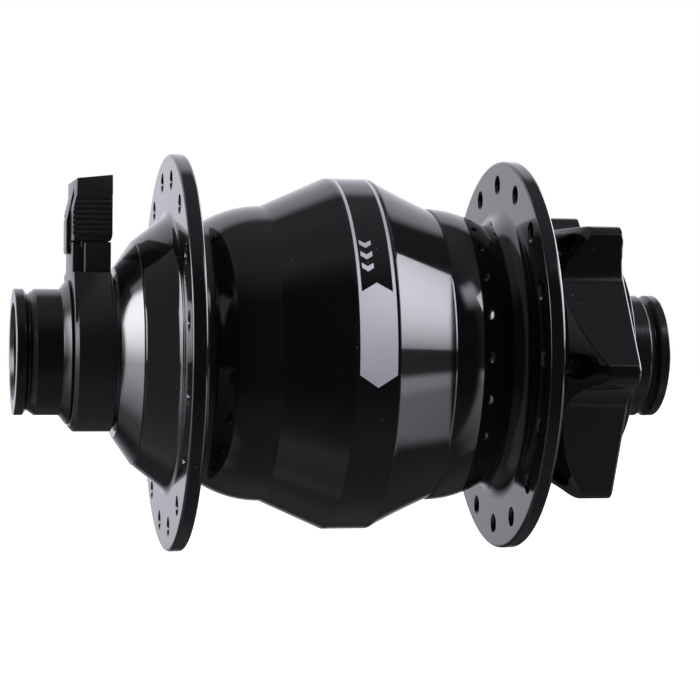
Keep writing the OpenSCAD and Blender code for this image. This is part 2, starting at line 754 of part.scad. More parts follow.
module left_shell() {
    fillet_y = left_flange_out - nose_fillet;
    fillet_r = nose_r + tan(nose_a) * (fillet_y - seam_y) + nose_fillet / cos(nose_a);
    seat_r = left_bearing_od / 2;
    color([0.05, 0.05, 0.055]) difference() {
        turned(concat(
            [[0, seam_y], [nose_r - edge_break, seam_y], [nose_r, seam_y + edge_break]],
            arc(fillet_r, fillet_y, nose_fillet, nose_a - 90, 0, 8),
            rim(left_flange_out, left_flange_in),
            mirrored(dome(waist_d / 2, left_foot_y, left_foot_d / 2, -left_flange_in)),
            [[band_d / 2, -band_y], [band_d / 2, band_y], [0, band_y]]));
        turned([
            [0, seam_y - cut], [seat_r, seam_y - cut], [seat_r, lb_r], [web_bore_l, lb_r],
            [web_bore_l, left_web_r], [left_foot_d / 2 - shell_wall, left_web_r], [cavity_r, -waist_y],
            [cavity_r, -magnet_y], [pocket_r, -magnet_y], [pocket_r, spigot_y - fit],
            [spigot_r + fit, spigot_y - fit], [spigot_r + fit, band_y + cut], [0, band_y + cut]]);
        spoke_holes(left_flange_out, left_flange_in, spoke_phase + 180 / spokes_a_side);
    }
}

// The outline of the rotor mount: lobes with one straight side and one hollow side
module lobes() {
    side_r = core_d / 2 - side_in;
    tilt = acos((side_r - lobe_tip_r) / lobe_reach);
    far = side_r + lobe_hollow_r;
    near = lobe_tip_r + lobe_hollow_r;
    bend = acos((far * far + lobe_reach * lobe_reach - near * near) / (2 * far * lobe_reach));
    circle(d = core_d, $fn = round_fn);
    for (i = [0 : rotor_bolts - 1]) rotate(lobe_phase + i * 360 / rotor_bolts) {
        translate([lobe_reach, 0]) circle(r = lobe_tip_r, $fn = 48);
        polygon([
            [0, 0], [lobe_reach, 0],
            [lobe_reach + lobe_tip_r * cos(tilt), lobe_tip_r * sin(tilt)],
            [side_r * cos(tilt), side_r * sin(tilt)]]);
        difference() {
            polygon([[0, 0], [far * cos(bend), -far * sin(bend)], [lobe_reach, 0]]);
            translate([far * cos(bend), -far * sin(bend)]) circle(r = lobe_hollow_r, $fn = 64);
        }
    }
}

// The rotor mount: a core with lobes that are cut back by a cone towards the flange
module rotor_mount() {
    tip_r = lobe_reach + lobe_tip_r;
    full_y = seat_y - lobe_full;
    foot_r = core_d / 2 - lap;
    foot_y = full_y - (tip_r - foot_r) / tan(lobe_slope);
    ring(0, core_d / 2, right_flange_out - lap, seat_y);
    intersection() {
        slab(foot_y, seat_y) lobes();
        turned([
            [0, foot_y], [foot_r, foot_y], [tip_r, full_y], [tip_r + cut, full_y],
            [tip_r + cut, seat_y + cut], [0, seat_y + cut]]);
    }
}

module right_shell() {
    seat_r = right_bearing_od / 2;
    neck_in = register_d / 2;
    groove_r = spigot_r - joint_ring_t;
    groove_y = spigot_y + spigot_len / 2;
    groove_half = joint_ring_t * grip_room / 2;
    color([0.05, 0.05, 0.055]) difference() {
        union() {
            turned(concat(
                [[0, spigot_y], [spigot_r, spigot_y], [spigot_r, groove_y - groove_half],
                    [groove_r, groove_y - groove_half], [groove_r, groove_y + groove_half],
                    [spigot_r, groove_y + groove_half], [spigot_r, band_y], [band_d / 2, band_y],
                    [waist_d / 2 - waist_step, waist_y]],
                dome(waist_d / 2, right_foot_y, right_foot_d / 2, right_flange_in),
                rim(right_flange_in, right_flange_out),
                [[neck_in, right_flange_out], [neck_in, register_y - register_chamfer],
                    [neck_in - register_chamfer, register_y], [0, register_y]]));
            rotor_mount();
        }
        turned([
            [0, spigot_y - cut], [pocket_r, spigot_y - cut], [pocket_r, magnet_y], [cavity_r, magnet_y],
            [cavity_r, waist_y], [right_foot_d / 2 - shell_wall, right_foot_y],
            [neck_in, right_flange_in], [neck_in, right_web_l], [web_bore_r, right_web_l],
            [web_bore_r, rb_l], [seat_r, rb_l], [seat_r, register_y + cut], [0, register_y + cut]]);
        spoke_holes(right_flange_in, right_flange_out, spoke_phase);
        for (i = [0 : rotor_bolts - 1])
            rotate([0, -(lobe_phase + lobe_lead + i * 360 / rotor_bolts), 0])
                translate([bolt_circle_d / 2, 0, 0])
                    ring(0, bolt_core_d / 2, right_flange_out + bolt_floor, seat_y + cut);
    }
}

module left_cover() {
    spigot = left_bearing_od / 2 - fit;
    color([0.06, 0.06, 0.065]) turned([
        [cover_bore, cover_l], [cover_small_r, cover_l], [cover_large_r, seam_y - edge_break],
        [cover_large_r, seam_y], [spigot, seam_y], [spigot, lb_l], [web_bore_l, lb_l],
        [web_bore_l, left_seal_l], [cover_bore, left_seal_l]]);
}

module left_dust_seal() {
    color([0.12, 0.12, 0.12])
        ring(spacer_r + running_gap, web_bore_l - fit, left_seal_l + fit, left_seal_l + left_seal_w);
}

module right_dust_seal() {
    color([0.12, 0.12, 0.12])
        ring(seal_land_r + running_gap, right_bearing_od / 2 - fit, register_y - right_seal_w, register_y);
}

module shell_seal_ring() {
    color([0.05, 0.05, 0.05])
        round_ring(spigot_r - joint_ring_t / 2 + fit / 2, spigot_y + spigot_len / 2, joint_ring_t - fit);
}

module magnet_yoke() {
    color("slategray") ring(yoke_in, yoke_out, fit - magnet_y, magnet_y - fit);
}

module magnets() {
    end_y = magnet_y - fit;
    color("darkgray") for (i = [0 : poles - 1])
        sector([
            [magnet_r, -end_y], [magnet_r + magnet_t, -end_y],
            [magnet_r + magnet_t, end_y], [magnet_r, end_y]],
            i * pole_angle + magnet_gap / 2, pole_angle - magnet_gap);
}

module left_bearing_outer_ring() {
    color("lightgray")
        race(left_pitch_r + race_half, left_bearing_od / 2 - fit, left_pitch_r, left_ball_d, lb_l, lb_r);
}

module right_bearing_outer_ring() {
    color("lightgray")
        race(right_pitch_r + race_half, right_bearing_od / 2 - fit, right_pitch_r, right_ball_d, rb_l, rb_r);
}

module left_bearing_shields() {
    color([0.15, 0.15, 0.16]) shields(left_pitch_r, lb_l, lb_r);
}

module right_bearing_shields() {
    color([0.15, 0.15, 0.16]) shields(right_pitch_r, rb_l, rb_r);
}

// Ball sets, which roll round at their own speed

module left_bearing_balls() {
    color("white") balls(left_pitch_r, (lb_l + lb_r) / 2, left_ball_d, left_balls);
}

module left_bearing_cage() {
    color("tan") cage(left_pitch_r, (lb_l + lb_r) / 2, left_ball_d, left_balls);
}

module right_bearing_balls() {
    color("white") balls(right_pitch_r, (rb_l + rb_r) / 2, right_ball_d, right_balls);
}

module right_bearing_cage() {
    color("tan") cage(right_pitch_r, (rb_l + rb_r) / 2, right_ball_d, right_balls);
}

// The plug, which pulls off upwards

// The plug seen along X: ribbed part below, plain head with a falling top above
module plug_side() {
    head_l = plug_l + plug_head_in;
    polygon([
        [plug_l, plug_z], [plug_l, plug_head_z - plug_step_h], [head_l, plug_head_z],
        [head_l, plug_top_z - plug_top_fall], [plug_r, plug_top_z], [plug_r, plug_z + plug_skirt_h],
        [plug_r - plug_skirt_in, plug_z]]);
}

// The latch seen along X: a spring tongue that leaves the plug's lower half free, with a sloping top
module latch_side() {
    latch_l = plug_l - latch_t;
    root_r = plug_l + plug_head_in + lap;
    free_z = plug_z + plug_grip_h / 2;
    polygon([
        [latch_l, plug_z - latch_drop], [plug_l - plug_gap, plug_z - latch_drop], [plug_l - plug_gap, free_z],
        [root_r, free_z], [root_r, plug_head_z + latch_rise],
        [plug_l + plug_head_in, plug_head_z + latch_rise],
        [latch_l, plug_head_z - plug_step_h - latch_below]]);
}

module plug_housing() {
    grip_x = plug_w / 2 - plug_rib_h;
    color([0.06, 0.06, 0.065]) difference() {
        union() {
            intersection() {
                rotate([90, 0, 90]) translate([0, 0, -plug_w / 2]) linear_extrude(plug_w) plug_side();
                union() {
                    block([-grip_x, plug_l - cut, plug_z - cut], [grip_x, plug_r + cut, plug_top_z + cut]);
                    block([-plug_w / 2, plug_l - cut, plug_head_z],
                        [plug_w / 2, plug_r + cut, plug_top_z + cut]);
                    for (side = [-1, 1], i = [0 : plug_ribs - 1])
                        bar_y(side * grip_x, plug_z + plug_skirt_h + (i + 0.5) * rib_pitch,
                            plug_l, plug_r, 2 * plug_rib_h);
                }
            }
            rotate([90, 0, 90]) translate([0, 0, -latch_w / 2]) linear_extrude(latch_w) latch_side();
        }
        block([-tongue_w / 2 - plug_gap, tower_y - tongue_t / 2 - plug_gap, plug_z - cut],
            [tongue_w / 2 + plug_gap, tower_y + tongue_t / 2 + plug_gap, sleeve_z]);
        for (side = [-1, 1]) {
            mid = side * blade_pitch / 2;
            block([mid - sleeve_w / 2 - fit, tower_y - sleeve_t / 2 - fit, sleeve_z - cut],
                [mid + sleeve_w / 2 + fit, tower_y + sleeve_t / 2 + fit, wire_hole_z + plug_gap]);
            translate([mid, tower_y, wire_hole_z]) cylinder(d = wire_hole_d, h = plug_top_z, $fn = 32);
        }
    }
}

module plug_sleeves() {
    color("gold") for (side = [-1, 1]) {
        mid = side * blade_pitch / 2;
        difference() {
            block([mid - sleeve_w / 2, tower_y - sleeve_t / 2, sleeve_z],
                [mid + sleeve_w / 2, tower_y + sleeve_t / 2, sleeve_top]);
            block([mid - blade_w / 2 - plug_gap, tower_y - blade_t / 2 - plug_gap, sleeve_z - cut],
                [mid + blade_w / 2 + plug_gap, tower_y + blade_t / 2 + plug_gap, sleeve_top + cut]);
        }
    }
}

axle_tube();
left_end_cap();
right_end_cap();
end_cap_grip_rings();
left_bearing_spacer();
plug_base();
contact_blades();
lead_wires();
stator_core();
left_claw_plate();
right_claw_plate();
coil_bobbin();
copper_coil();
stator_nut();
left_bearing_inner_ring();
right_bearing_inner_ring();
left_shell();
right_shell();
left_cover();
shell_seal_ring();
magnet_yoke();
magnets();
left_bearing_outer_ring();
right_bearing_outer_ring();
left_bearing_shields();
right_bearing_shields();
left_dust_seal();
right_dust_seal();
left_bearing_balls();
left_bearing_cage();
right_bearing_balls();
right_bearing_cage();
plug_housing();
plug_sleeves();
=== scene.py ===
"""Looks of a hub dynamo: turned shell, rotor mount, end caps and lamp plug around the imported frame."""
import math

import bmesh
import bpy
from mathutils import Matrix, Vector


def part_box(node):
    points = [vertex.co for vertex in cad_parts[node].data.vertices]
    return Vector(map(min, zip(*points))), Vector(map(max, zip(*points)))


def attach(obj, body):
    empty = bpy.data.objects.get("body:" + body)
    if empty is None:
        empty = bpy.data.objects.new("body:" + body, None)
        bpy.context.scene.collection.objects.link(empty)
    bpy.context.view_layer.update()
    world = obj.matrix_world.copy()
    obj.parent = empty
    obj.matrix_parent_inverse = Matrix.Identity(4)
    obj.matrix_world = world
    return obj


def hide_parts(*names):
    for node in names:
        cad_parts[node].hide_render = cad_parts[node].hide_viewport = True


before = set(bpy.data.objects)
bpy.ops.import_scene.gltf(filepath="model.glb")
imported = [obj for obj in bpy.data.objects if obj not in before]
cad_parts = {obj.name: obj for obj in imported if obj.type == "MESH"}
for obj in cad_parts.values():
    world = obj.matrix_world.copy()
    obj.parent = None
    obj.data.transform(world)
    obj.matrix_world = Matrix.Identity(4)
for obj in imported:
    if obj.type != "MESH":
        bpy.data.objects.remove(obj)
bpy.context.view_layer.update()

bl_info = {
    "name": "Hub dynamo",
    "version": (1, 0, 0),
    "blender": (4, 5, 0),
    "location": "3D View > Sidebar > Hub",
    "description": "Builds the visible pieces of a hub dynamo around its packed frame",
    "category": "Object",
}

MM = 0.001
FIT = 0.02 * MM
# Columns round a turned piece, and points on each quarter of a rounding
TURN_STEPS = 256
ROUND_STEPS = 6
# Flats get a row of points this close to their ends, so that they shade flat
SUPPORT = 0.06 * MM
LEAST_FLAT = 0.5 * MM
SHARP_ANGLE = math.radians(28)
# Points along a lobe's hollow side and its tip, over its edges, and round a small hole
HOLLOW_STEPS, TIP_STEPS, EDGE_STEPS, HOLE_STEPS = 18, 20, 4, 32
# Angle between the points of the foil along the band
FOIL_STEP = math.radians(1.5)
# Radius of the axle under the left and the right end cap
LEFT_NECK_R, RIGHT_SEAT_R = 9 * MM, 8.5 * MM
# Web behind a bearing: its thickness, and its height over the right bearing's inner ring
WEB_T, WEB_OVER_RING = 2 * MM, 2.85 * MM
# How far a tool or a joined block runs past the face it meets
PAST = 1 * MM
# Stretch that draws a grain out into turning marks round the axle
TURNING_MARKS = (0.02, 1, 0.02)
SENSOR_MM = 36


def reach(node):
    """Largest distance of a turned CAD node from the axle's line"""
    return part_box(node)[1].x


def ends(node):
    """First and last place of a CAD node along the axle"""
    low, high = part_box(node)
    return low.y, high.y


# Properties

def length(name, description, default):
    """A length in metres"""
    return bpy.props.FloatProperty(name=name, description=description, default=default, unit="LENGTH")


def angle(name, description, degrees):
    """An angle, given in degrees"""
    return bpy.props.FloatProperty(
        name=name, description=description, default=math.radians(degrees), subtype="ANGLE")


def number(name, description, default):
    """A count of at least one"""
    return bpy.props.IntProperty(name=name, description=description, default=default, min=1)


def level(name, description, default):
    """A plain value that isn't negative"""
    return bpy.props.FloatProperty(name=name, description=description, default=default, min=0)


def tint(name, description, default):
    """A linear colour"""
    return bpy.props.FloatVectorProperty(
        name=name, description=description, default=default, size=3, subtype="COLOR", min=0, max=1)


class ShellSizes(bpy.types.PropertyGroup):
    """Sizes of the two shell halves and their spoke holes"""

    flange_r: length("Flange radius", "Outer radius of both flanges", reach("left_shell"))
    flange_t: length("Flange thickness", "Thickness of both flanges", 2.5 * MM)
    flange_round: length("Rim rounding", "Rounding of the flange rims", 0.55 * MM)
    left_flange_y: length("Left flange", "Middle of the left flange along the axle", -28.6 * MM)
    right_flange_y: length("Right flange", "Middle of the right flange along the axle", 28.3 * MM)
    band_r: length("Band radius", "Radius of the flat band at mid-length", 29.5 * MM)
    band_y: length("Band half width", "Half the width of the band", 3.6 * MM)
    waist_r: length("Waist radius", "Radius where the cones meet the domes", 24.7 * MM)
    waist_y: length("Waist", "Distance of the waists from mid-length", 14.2 * MM)
    waist_step: length("Waist step", "Step from the end of the right cone up to its dome", 0.25 * MM)
    cone_sag: length("Cone hollow", "Depth of the right cone's slight hollow", 0.15 * MM)
    left_foot_r: length("Left dome foot", "Radius where the left dome ends", 22 * MM)
    left_root: length("Left root", "Length of the fillet at the left flange", 3.55 * MM)
    right_foot_r: length("Right dome foot", "Radius where the right dome ends", 22.4 * MM)
    right_root: length("Right root", "Length of the fillet at the right flange", 4.25 * MM)
    nose_r: length("Nose radius", "Radius of the nose at the cover", 18.9 * MM)
    nose_root_r: length("Nose root", "Radius the nose aims at on the flange", 23 * MM)
    nose_fillet: length("Nose fillet", "Fillet between nose and flange", 2 * MM)
    wall: length("Wall", "Wall thickness of the domes", 2.3 * MM)
    edge: length("Edge break", "Small chamfer on turned edges", 0.2 * MM)
    spoke_holes: number("Spoke holes", "Spoke holes in each flange", 16)
    spoke_circle_r: length("Spoke circle", "Radius of the spoke hole circle", 29 * MM)
    spoke_hole_r: length("Spoke hole", "Radius of a spoke hole", 1.3 * MM)
    spoke_chamfer: length("Hole chamfer", "Chamfer at both ends of a spoke hole", 0.4 * MM)
    spoke_phase: angle("First hole", "Angle of the right flange's first hole", -0.9)


class RotorSizes(bpy.types.PropertyGroup):
    """Sizes of the brake rotor's mount"""

    core_r: length("Core radius", "Radius between the lobes", 20.8 * MM)
    lobes: number("Lobes", "Lobes, each with one bolt hole", 6)
    lobe_reach: length("Lobe reach", "Distance of a lobe tip's centre from the axle", 23.8 * MM)
    tip_r: length("Tip radius", "Radius of a lobe's tip", 2.35 * MM)
    hollow_r: length("Hollow radius", "Radius of a lobe's hollow side", 8 * MM)
    phase: angle("First lobe", "Angle of the first lobe", -6)
    lead: angle("Bolt lead", "Angle of a bolt hole ahead of its lobe", 1.5)
    seat_y: length("Seat", "Place of the rotor's seat along the axle", 44.5 * MM)
    full: length("Full lobe", "Length over which the lobes have their full height", 5.4 * MM)
    seat_round: length("Seat rounding", "Rounding of the lobes' edge at the seat", 0.35 * MM)
    back_round: length("Back rounding", "Rounding between a lobe's side and its sloping back", 0.8 * MM)
    register_r: length("Register radius", "Radius that centres the rotor", 17 * MM)
    bolt_circle_r: length("Bolt circle", "Radius of the bolt circle", 22 * MM)
    bolt_r: length("Bolt core", "Core radius of a bolt's thread", 2.1 * MM)
    thread_h: length("Thread height", "Height of the thread in a bolt hole", 0.05 * MM)
    thread_pitch: length("Thread pitch", "Pitch of the thread in a bolt hole", 0.8 * MM)
    bolt_floor: length("Bolt floor", "Distance of a bolt hole's floor from the flange", 4 * MM)


class EndSizes(bpy.types.PropertyGroup):
    """Sizes of the end caps, the axle's bore and the left cover"""

    bore_r: length("Bore radius", "Radius of the bore for the through axle", 7.525 * MM)
    cap_r: length("Cap radius", "Outer radius of both end caps", 10.4 * MM)
    mouth: length("Mouth chamfer", "Chamfer at the mouth of the bore", 0.7 * MM)
    rim_w: length("Cap rim", "Distance of the groove from the end", 1.45 * MM)
    groove_w: length("Groove width", "Width of the groove", 1.95 * MM)
    groove_h: length("Groove depth", "Depth of the groove", 0.9 * MM)
    groove_lean: level("Groove lean", "Share of the groove's width before its deepest point", 0.36)
    end_wall: length("End wall", "Length of a cap in front of the axle tube", 3.6 * MM)
    flare_r: length("Flare radius", "Radius of the left cap's flare", 11.9 * MM)
    flare_len: length("Flare length", "Length of the left cap's flare", 1.4 * MM)
    flare_neck: length("Flare neck", "Length of the neck behind the flare", 0.25 * MM)
    groove_t: length("Grip groove", "Width of the groove for a grip ring", 0.84 * MM)
    grip_t: length("Grip ring", "Thickness of a grip ring", 0.7 * MM)
    cover_small_r: length("Cover's small radius", "Radius of the cover at the plug base", 14.1 * MM)
    cover_lip_r: length("Cover's lip", "Bore radius of the cover", 12.35 * MM)
    edge: length("Edge rounding", "Rounding of the turned edges", 0.1 * MM)


class PlugSizes(bpy.types.PropertyGroup):
    """Sizes of the plug base and the lamp plug"""

    ring_r: length("Base ring", "Outer radius of the base ring", 13.1 * MM)
    ring_chamfer: length("Ring chamfer", "Chamfer on the ring's outer face", 0.7 * MM)
    foot_x: length("Foot half width", "Half width of the tower's foot", 8.8 * MM)
    foot_z: length("Foot height", "Height of the foot above the axle", 13.1 * MM)
    tower_x: length("Tower half width", "Half width of the tower", 7.9 * MM)
    tower_t: length("Tower thickness", "Thickness of the tower along the axle", 6.1 * MM)
    tower_z: length("Tower height", "Height of the tower above the axle", 18 * MM)
    plate_t: length("Plate thickness", "Thickness of the tower's narrower outer plate", 1.8 * MM)
    plate_in: length("Plate step", "How much narrower that plate is on each side", 2 * MM)
    tongue_x: length("Tongue half width", "Half width of the tongue in the plug", 6.6 * MM)
    tongue_t: length("Tongue thickness", "Thickness of the tongue", 3.4 * MM)
    grip_h: length("Grip height", "Height of the plug's ribbed part", 7.6 * MM)
    head_in: length("Head step", "How far the plug's head stands back", 0.5 * MM)
    step_h: length("Step height", "Height of the slope under the head", 0.7 * MM)
    bevel_h: length("Bevel height", "Height of the bevel beside the latch, from the head down", 2.6 * MM)
    skirt_h: length("Skirt height", "Plain height under the ribs", 0.9 * MM)
    skirt_in: length("Skirt chamfer", "Chamfer at the lower inner edge", 0.3 * MM)
    top_fall: length("Top fall", "Fall of the plug's top towards the end", 0.65 * MM)
    ribs: number("Ribs", "Ribs on each side of the plug", 8)
    rib_h: length("Rib height", "Height of a rib", 0.3 * MM)
    rib_out: length("Rib end", "How far the ribs stand out at the plug's corner", 0.12 * MM)
    latch_x: length("Latch half width", "Half width of the latch", 2.6 * MM)
    latch_below: length("Latch top", "Distance of the latch's top from the slope under the head", 3.5 * MM)
    latch_rise: length("Latch rise", "Height to which the latch's slope runs up the head", 1.4 * MM)
    gap: length("Plug clearance", "Clearance of the plug on its tongue", 0.12 * MM)
    wire_r: length("Wire hole", "Radius of a wire hole", 1.1 * MM)
    wire_x: length("Wire place", "Distance of a wire hole from the middle", 3.6 * MM)
    edge: length("Edge rounding", "Rounding of the moulded edges", 0.22 * MM)


class LabelSizes(bpy.types.PropertyGroup):
    """Sizes of the plain marking on the band"""

    low_y: length("Left edge", "Left edge of the marking along the axle", -2.95 * MM)
    high_y: length("Right edge", "Right edge of the marking along the axle", 3.1 * MM)
    panel_from: angle("Panel start", "Angle of the panel's lower tip", -9.9)
    panel_to: angle("Panel end", "Angle of the panel's upper tip", 22.9)
    lower_point: angle("Lower point", "Angle over which the panel narrows to its lower tip", 3.9)
    upper_point: angle("Upper point", "Angle over which the panel narrows to its upper tip", 3)
    chevrons: number("Chevrons", "Number of chevrons", 3)
    chevron_from: angle("First chevron", "Angle of the lowest chevron's tip", 26.7)
    chevron_pitch: angle("Chevron pitch", "Angle between the chevrons", 4.3)
    chevron_mid: length("Chevron place", "Middle of the chevrons along the axle", -1.1 * MM)
    chevron_w: length("Chevron width", "Width of a chevron", 1.9 * MM)
    stripe_to: angle("Stripe end", "Angle of the stripes' far end", 158)
    stripe_w: length("Stripe width", "Width of a stripe", 0.5 * MM)
    foil_t: length("Foil thickness", "Height of the marking above the band", 0.015 * MM)


class Finishes(bpy.types.PropertyGroup):
    """Colours and gloss of the visible finishes"""

    shell: tint("Shell", "Colour of the gloss black shell", (0.0036, 0.0032, 0.0034))
    shell_rough: level("Shell roughness", "Roughness of the shell", 0.07)
    cover_rough: level("Cover roughness", "Roughness of the turned cover", 0.12)
    cover_ior: level("Cover refraction", "Refractive index of the cover's coat", 1.78)
    cap: tint("End caps", "Colour of the satin black caps", (0.0042, 0.0038, 0.0042))
    cap_rough: level("Cap roughness", "Roughness of the caps", 0.2)
    cap_ior: level("Cap refraction", "Refractive index of the caps' coat", 1.5)
    plastic: tint("Plastic", "Colour of the black plastic", (0.0105, 0.0094, 0.0096))
    plastic_rough: level("Plastic roughness", "Roughness of the plastic", 0.32)
    marking: tint("Marking", "Colour of the silver marking", (0.6, 0.59, 0.62))
    dust: tint("Dust", "Colour of the dust specks", (0.34, 0.34, 0.35))


class StudioSettings(bpy.types.PropertyGroup):
    """Camera, lamps, floor and backdrop"""

    camera_at: bpy.props.FloatVectorProperty(
        name="Camera", description="Place of the camera", size=3, subtype="TRANSLATION",
        default=(387.434 * MM, -80.32 * MM, 3.3335 * MM), precision=6)
    pan: angle("Pan", "Turn of the view from square to the axle", 11.937)
    pitch: angle("Pitch", "Upward tilt of the view", -0.388)
    roll: angle("Roll", "Roll of the camera", 0.429)
    lens: level("Lens", f"Focal length on a {SENSOR_MM} mm sensor, in mm", 120.38)
    floor_z: length("Floor", "Height of the floor", -100 * MM)
    fill: level("Fill", "Light from all round on matt surfaces", 0.42)
    room: level("Room", "Brightness of the dark room in reflections", 0.04)
    room_tint: tint("Room tint", "Colour of the light from the room", (0.9, 0.91, 1.0))
    table: level("Table", "Brightness of the table in front in reflections", 0.12)
    ceiling: level("Ceiling", "Brightness of the ceiling in reflections", 0.27)
    backdrop: level("Backdrop", "Brightness of the backdrop in reflections", 1.1)


# Patches of light that only reflections show, in degrees: middle, half width and softness across,
# lower end and its fade, upper end and its softness; the last number is the brightness
REFLECTED = (
    (42, 11, 6, 30, 14, 50, 4, 4.5),
    (66, 24, 8, -70, 15, 55, 12, 0.24),
    (66, 24, 5, -70, 52, -10, 2, 1.75),
    (66, 24, 5, -20, 6, -10, 2, 1.4),
    (-98, 40, 10, -75, 15, 60, 12, 0.25),
    (-108, 14, 5, -30, 27, -4, 2, 2.9))
# Lamps: name, azimuth and elevation in degrees, distance, width and height in metres, brightness, share of
# the height where it is brightest, share of the brightness left at the farther end, colour
SOFTBOXES = (
    ("right_softbox", 72, 22, 0.8, 0.56, 0.56, 12.5, 0.58, 0.3, (0.9, 0.91, 1.0)),
    ("rear_softbox", 113, 20, 0.8, 0.62, 0.5, 8, 0.5, 0.6, (0.9, 0.91, 1.0)),
    ("left_softbox", -101, 9, 0.8, 0.62, 0.38, 9, 0.7, 0.22, (0.94, 0.95, 1.0)))
# Fades in reflections: the backdrop's by its slope sideways and upwards from the hub, the ceiling's and the
# table's by the upward part of a direction
BACKDROP_SIDE, BACKDROP_TOP, BACKDROP_FOOT = (1.7, 1.2), (1.6, 1.0), (-0.5, 0.06)
CEILING_RISE, TABLE_RISE = (0.6, 1.0), (-0.35, -0.85)


# Outlines in (radius, place along the axle) form

def arc(centre_r, centre_y, radius, start, stop, steps):
    """Points of an arc; angles in degrees run from the +Y direction outwards"""
    points = []
    for i in range(steps + 1):
        a = math.radians(start + (stop - start) * i / steps)
        points.append((centre_r + radius * math.sin(a), centre_y + radius * math.cos(a)))
    return points


def rounded(corners):
    """Closed outline through corners; a third number on a corner is its rounding"""
    points = []
    for i, corner in enumerate(corners):
        here = Vector(corner[:2])
        if len(corner) == 2 or corner[2] == 0:
            points.append(tuple(here))
            continue
        before = (Vector(corners[i - 1][:2]) - here).normalized()
        after = (Vector(corners[(i + 1) % len(corners)][:2]) - here).normalized()
        half = before.angle(after) / 2
        centre = here + (before + after).normalized() * corner[2] / math.sin(half)
        first = here + before * corner[2] / math.tan(half) - centre
        last = here + after * corner[2] / math.tan(half) - centre
        swept = first.angle(last)
        steps = max(2, round(ROUND_STEPS * swept / (math.pi / 2)))
        for k in range(steps + 1):
            t = k / steps
            turned_by = math.sin((1 - t) * swept) * first + math.sin(t * swept) * last
            points.append(tuple(centre + turned_by / math.sin(swept)))
    return points


def supported(outline):
    """The outline with a point near both ends of each flat"""
    points = []
    for i, here in enumerate(outline):
        ahead = outline[(i + 1) % len(outline)]
        points.append(here)
        flat = math.dist(here, ahead)
        if flat > LEAST_FLAT:
            for share in (SUPPORT / flat, 1 - SUPPORT / flat):
                points.append(tuple(a + (b - a) * share for a, b in zip(here, ahead)))
    return points


def dome(sizes, foot_y, foot_r, flange_y):
    """From a waist over the dome and down the fillet to the flange, for a right half"""
    run, fall = foot_y - sizes.waist_y, sizes.waist_r - foot_r
    radius = (run * run + fall * fall) / (2 * fall)
    tilt = math.degrees(math.asin(run / radius))
    root = (flange_y - foot_y) / (1 + run / radius)
    crown = arc(sizes.waist_r - radius, sizes.waist_y, radius, 90, 90 - tilt, 24)
    foot = arc(foot_r + root * math.cos(math.radians(tilt)), flange_y - root, root, 270 - tilt, 360, 16)
    return crown + foot


def hollow(start, stop, sag, steps=24):
    """Points between two places of an outline that is hollow by the sag at its middle"""
    points = []
    for i in range(1, steps):
        share = i / steps
        dip = 4 * sag * share * (1 - share)
        r, y = (a + (b - a) * share for a, b in zip(start, stop))
        points.append((r - dip, y))
    return points


def rim(sizes, y0, y1):
    """Rounded rim of a flange between two places along the axle"""
    r, e = sizes.flange_r - sizes.flange_round, sizes.flange_round
    return arc(r, y0 + e, e, 180, 90, ROUND_STEPS) + arc(r, y1 - e, e, 90, 0, ROUND_STEPS)


def mirrored(points):
    """The same outline on the other side of mid-length, in the opposite order"""
    return [(r, -y) for r, y in reversed(points)]


# Meshes

def new_piece(name, verts, faces):
    """Closed mesh object with merged points and outward faces"""
    mesh = bpy.data.meshes.new(name)
    mesh.from_pydata(verts, [], faces)
    piece = bpy.data.objects.new(name, mesh)
    bpy.context.scene.collection.objects.link(piece)
    return cleaned(piece)


def cleaned(piece):
    """Merges doubled points and turns the faces outwards"""
    bm = bmesh.new()
    bm.from_mesh(piece.data)
    bmesh.ops.remove_doubles(bm, verts=bm.verts, dist=1e-7)
    bmesh.ops.dissolve_degenerate(bm, edges=bm.edges, dist=1e-8)
    bmesh.ops.recalc_face_normals(bm, faces=bm.faces)
    bm.to_mesh(piece.data)
    bm.free()
    return piece


def woven(name, columns):
    """Ring-shaped mesh from closed columns of points, joined to their neighbours round the axle"""
    rows = len(columns[0])
    verts = [point for column in columns for point in column]
    faces = []
    for i in range(len(columns)):
        here, ahead = i * rows, (i + 1) % len(columns) * rows
        for j in range(rows):
            up = (j + 1) % rows
            faces.append((here + j, here + up, ahead + up, ahead + j))
    return new_piece(name, verts, faces)


def turned(name, outline, steps=TURN_STEPS):
    """Turns a closed outline about the axle"""
    columns = []
    for i in range(steps):
        a = math.tau * i / steps
        columns.append([(r * math.cos(a), y, r * math.sin(a)) for r, y in outline])
    return woven(name, columns)


def prism(name, outline, axis, low, high, edge):
    """Flat outline drawn across an axis, extruded along it, with rounded edges"""
    order = {"X": lambda u, v, w: (w, u, v), "Y": lambda u, v, w: (u, w, v)}[axis]
    count = len(outline)
    verts = [order(u, v, w) for w in (low, high) for u, v in outline]
    faces = [tuple(range(count)), tuple(range(count, 2 * count))]
    for i in range(count):
        j = (i + 1) % count
        faces.append((i, j, count + j, count + i))
    piece = new_piece(name, verts, faces)
    if edge:
        bm = bmesh.new()
        bm.from_mesh(piece.data)
        bmesh.ops.bevel(
            bm, geom=bm.edges[:], offset=edge, segments=3, profile=0.5, affect="EDGES", clamp_overlap=True)
        bm.to_mesh(piece.data)
        bm.free()
    return piece


def block(name, low, high, edge=0):
    """Block between two corners, with rounded edges"""
    outline = [(low[0], low[2]), (high[0], low[2]), (high[0], high[2]), (low[0], high[2])]
    return prism(name, outline, "Y", low[1], high[1], edge)


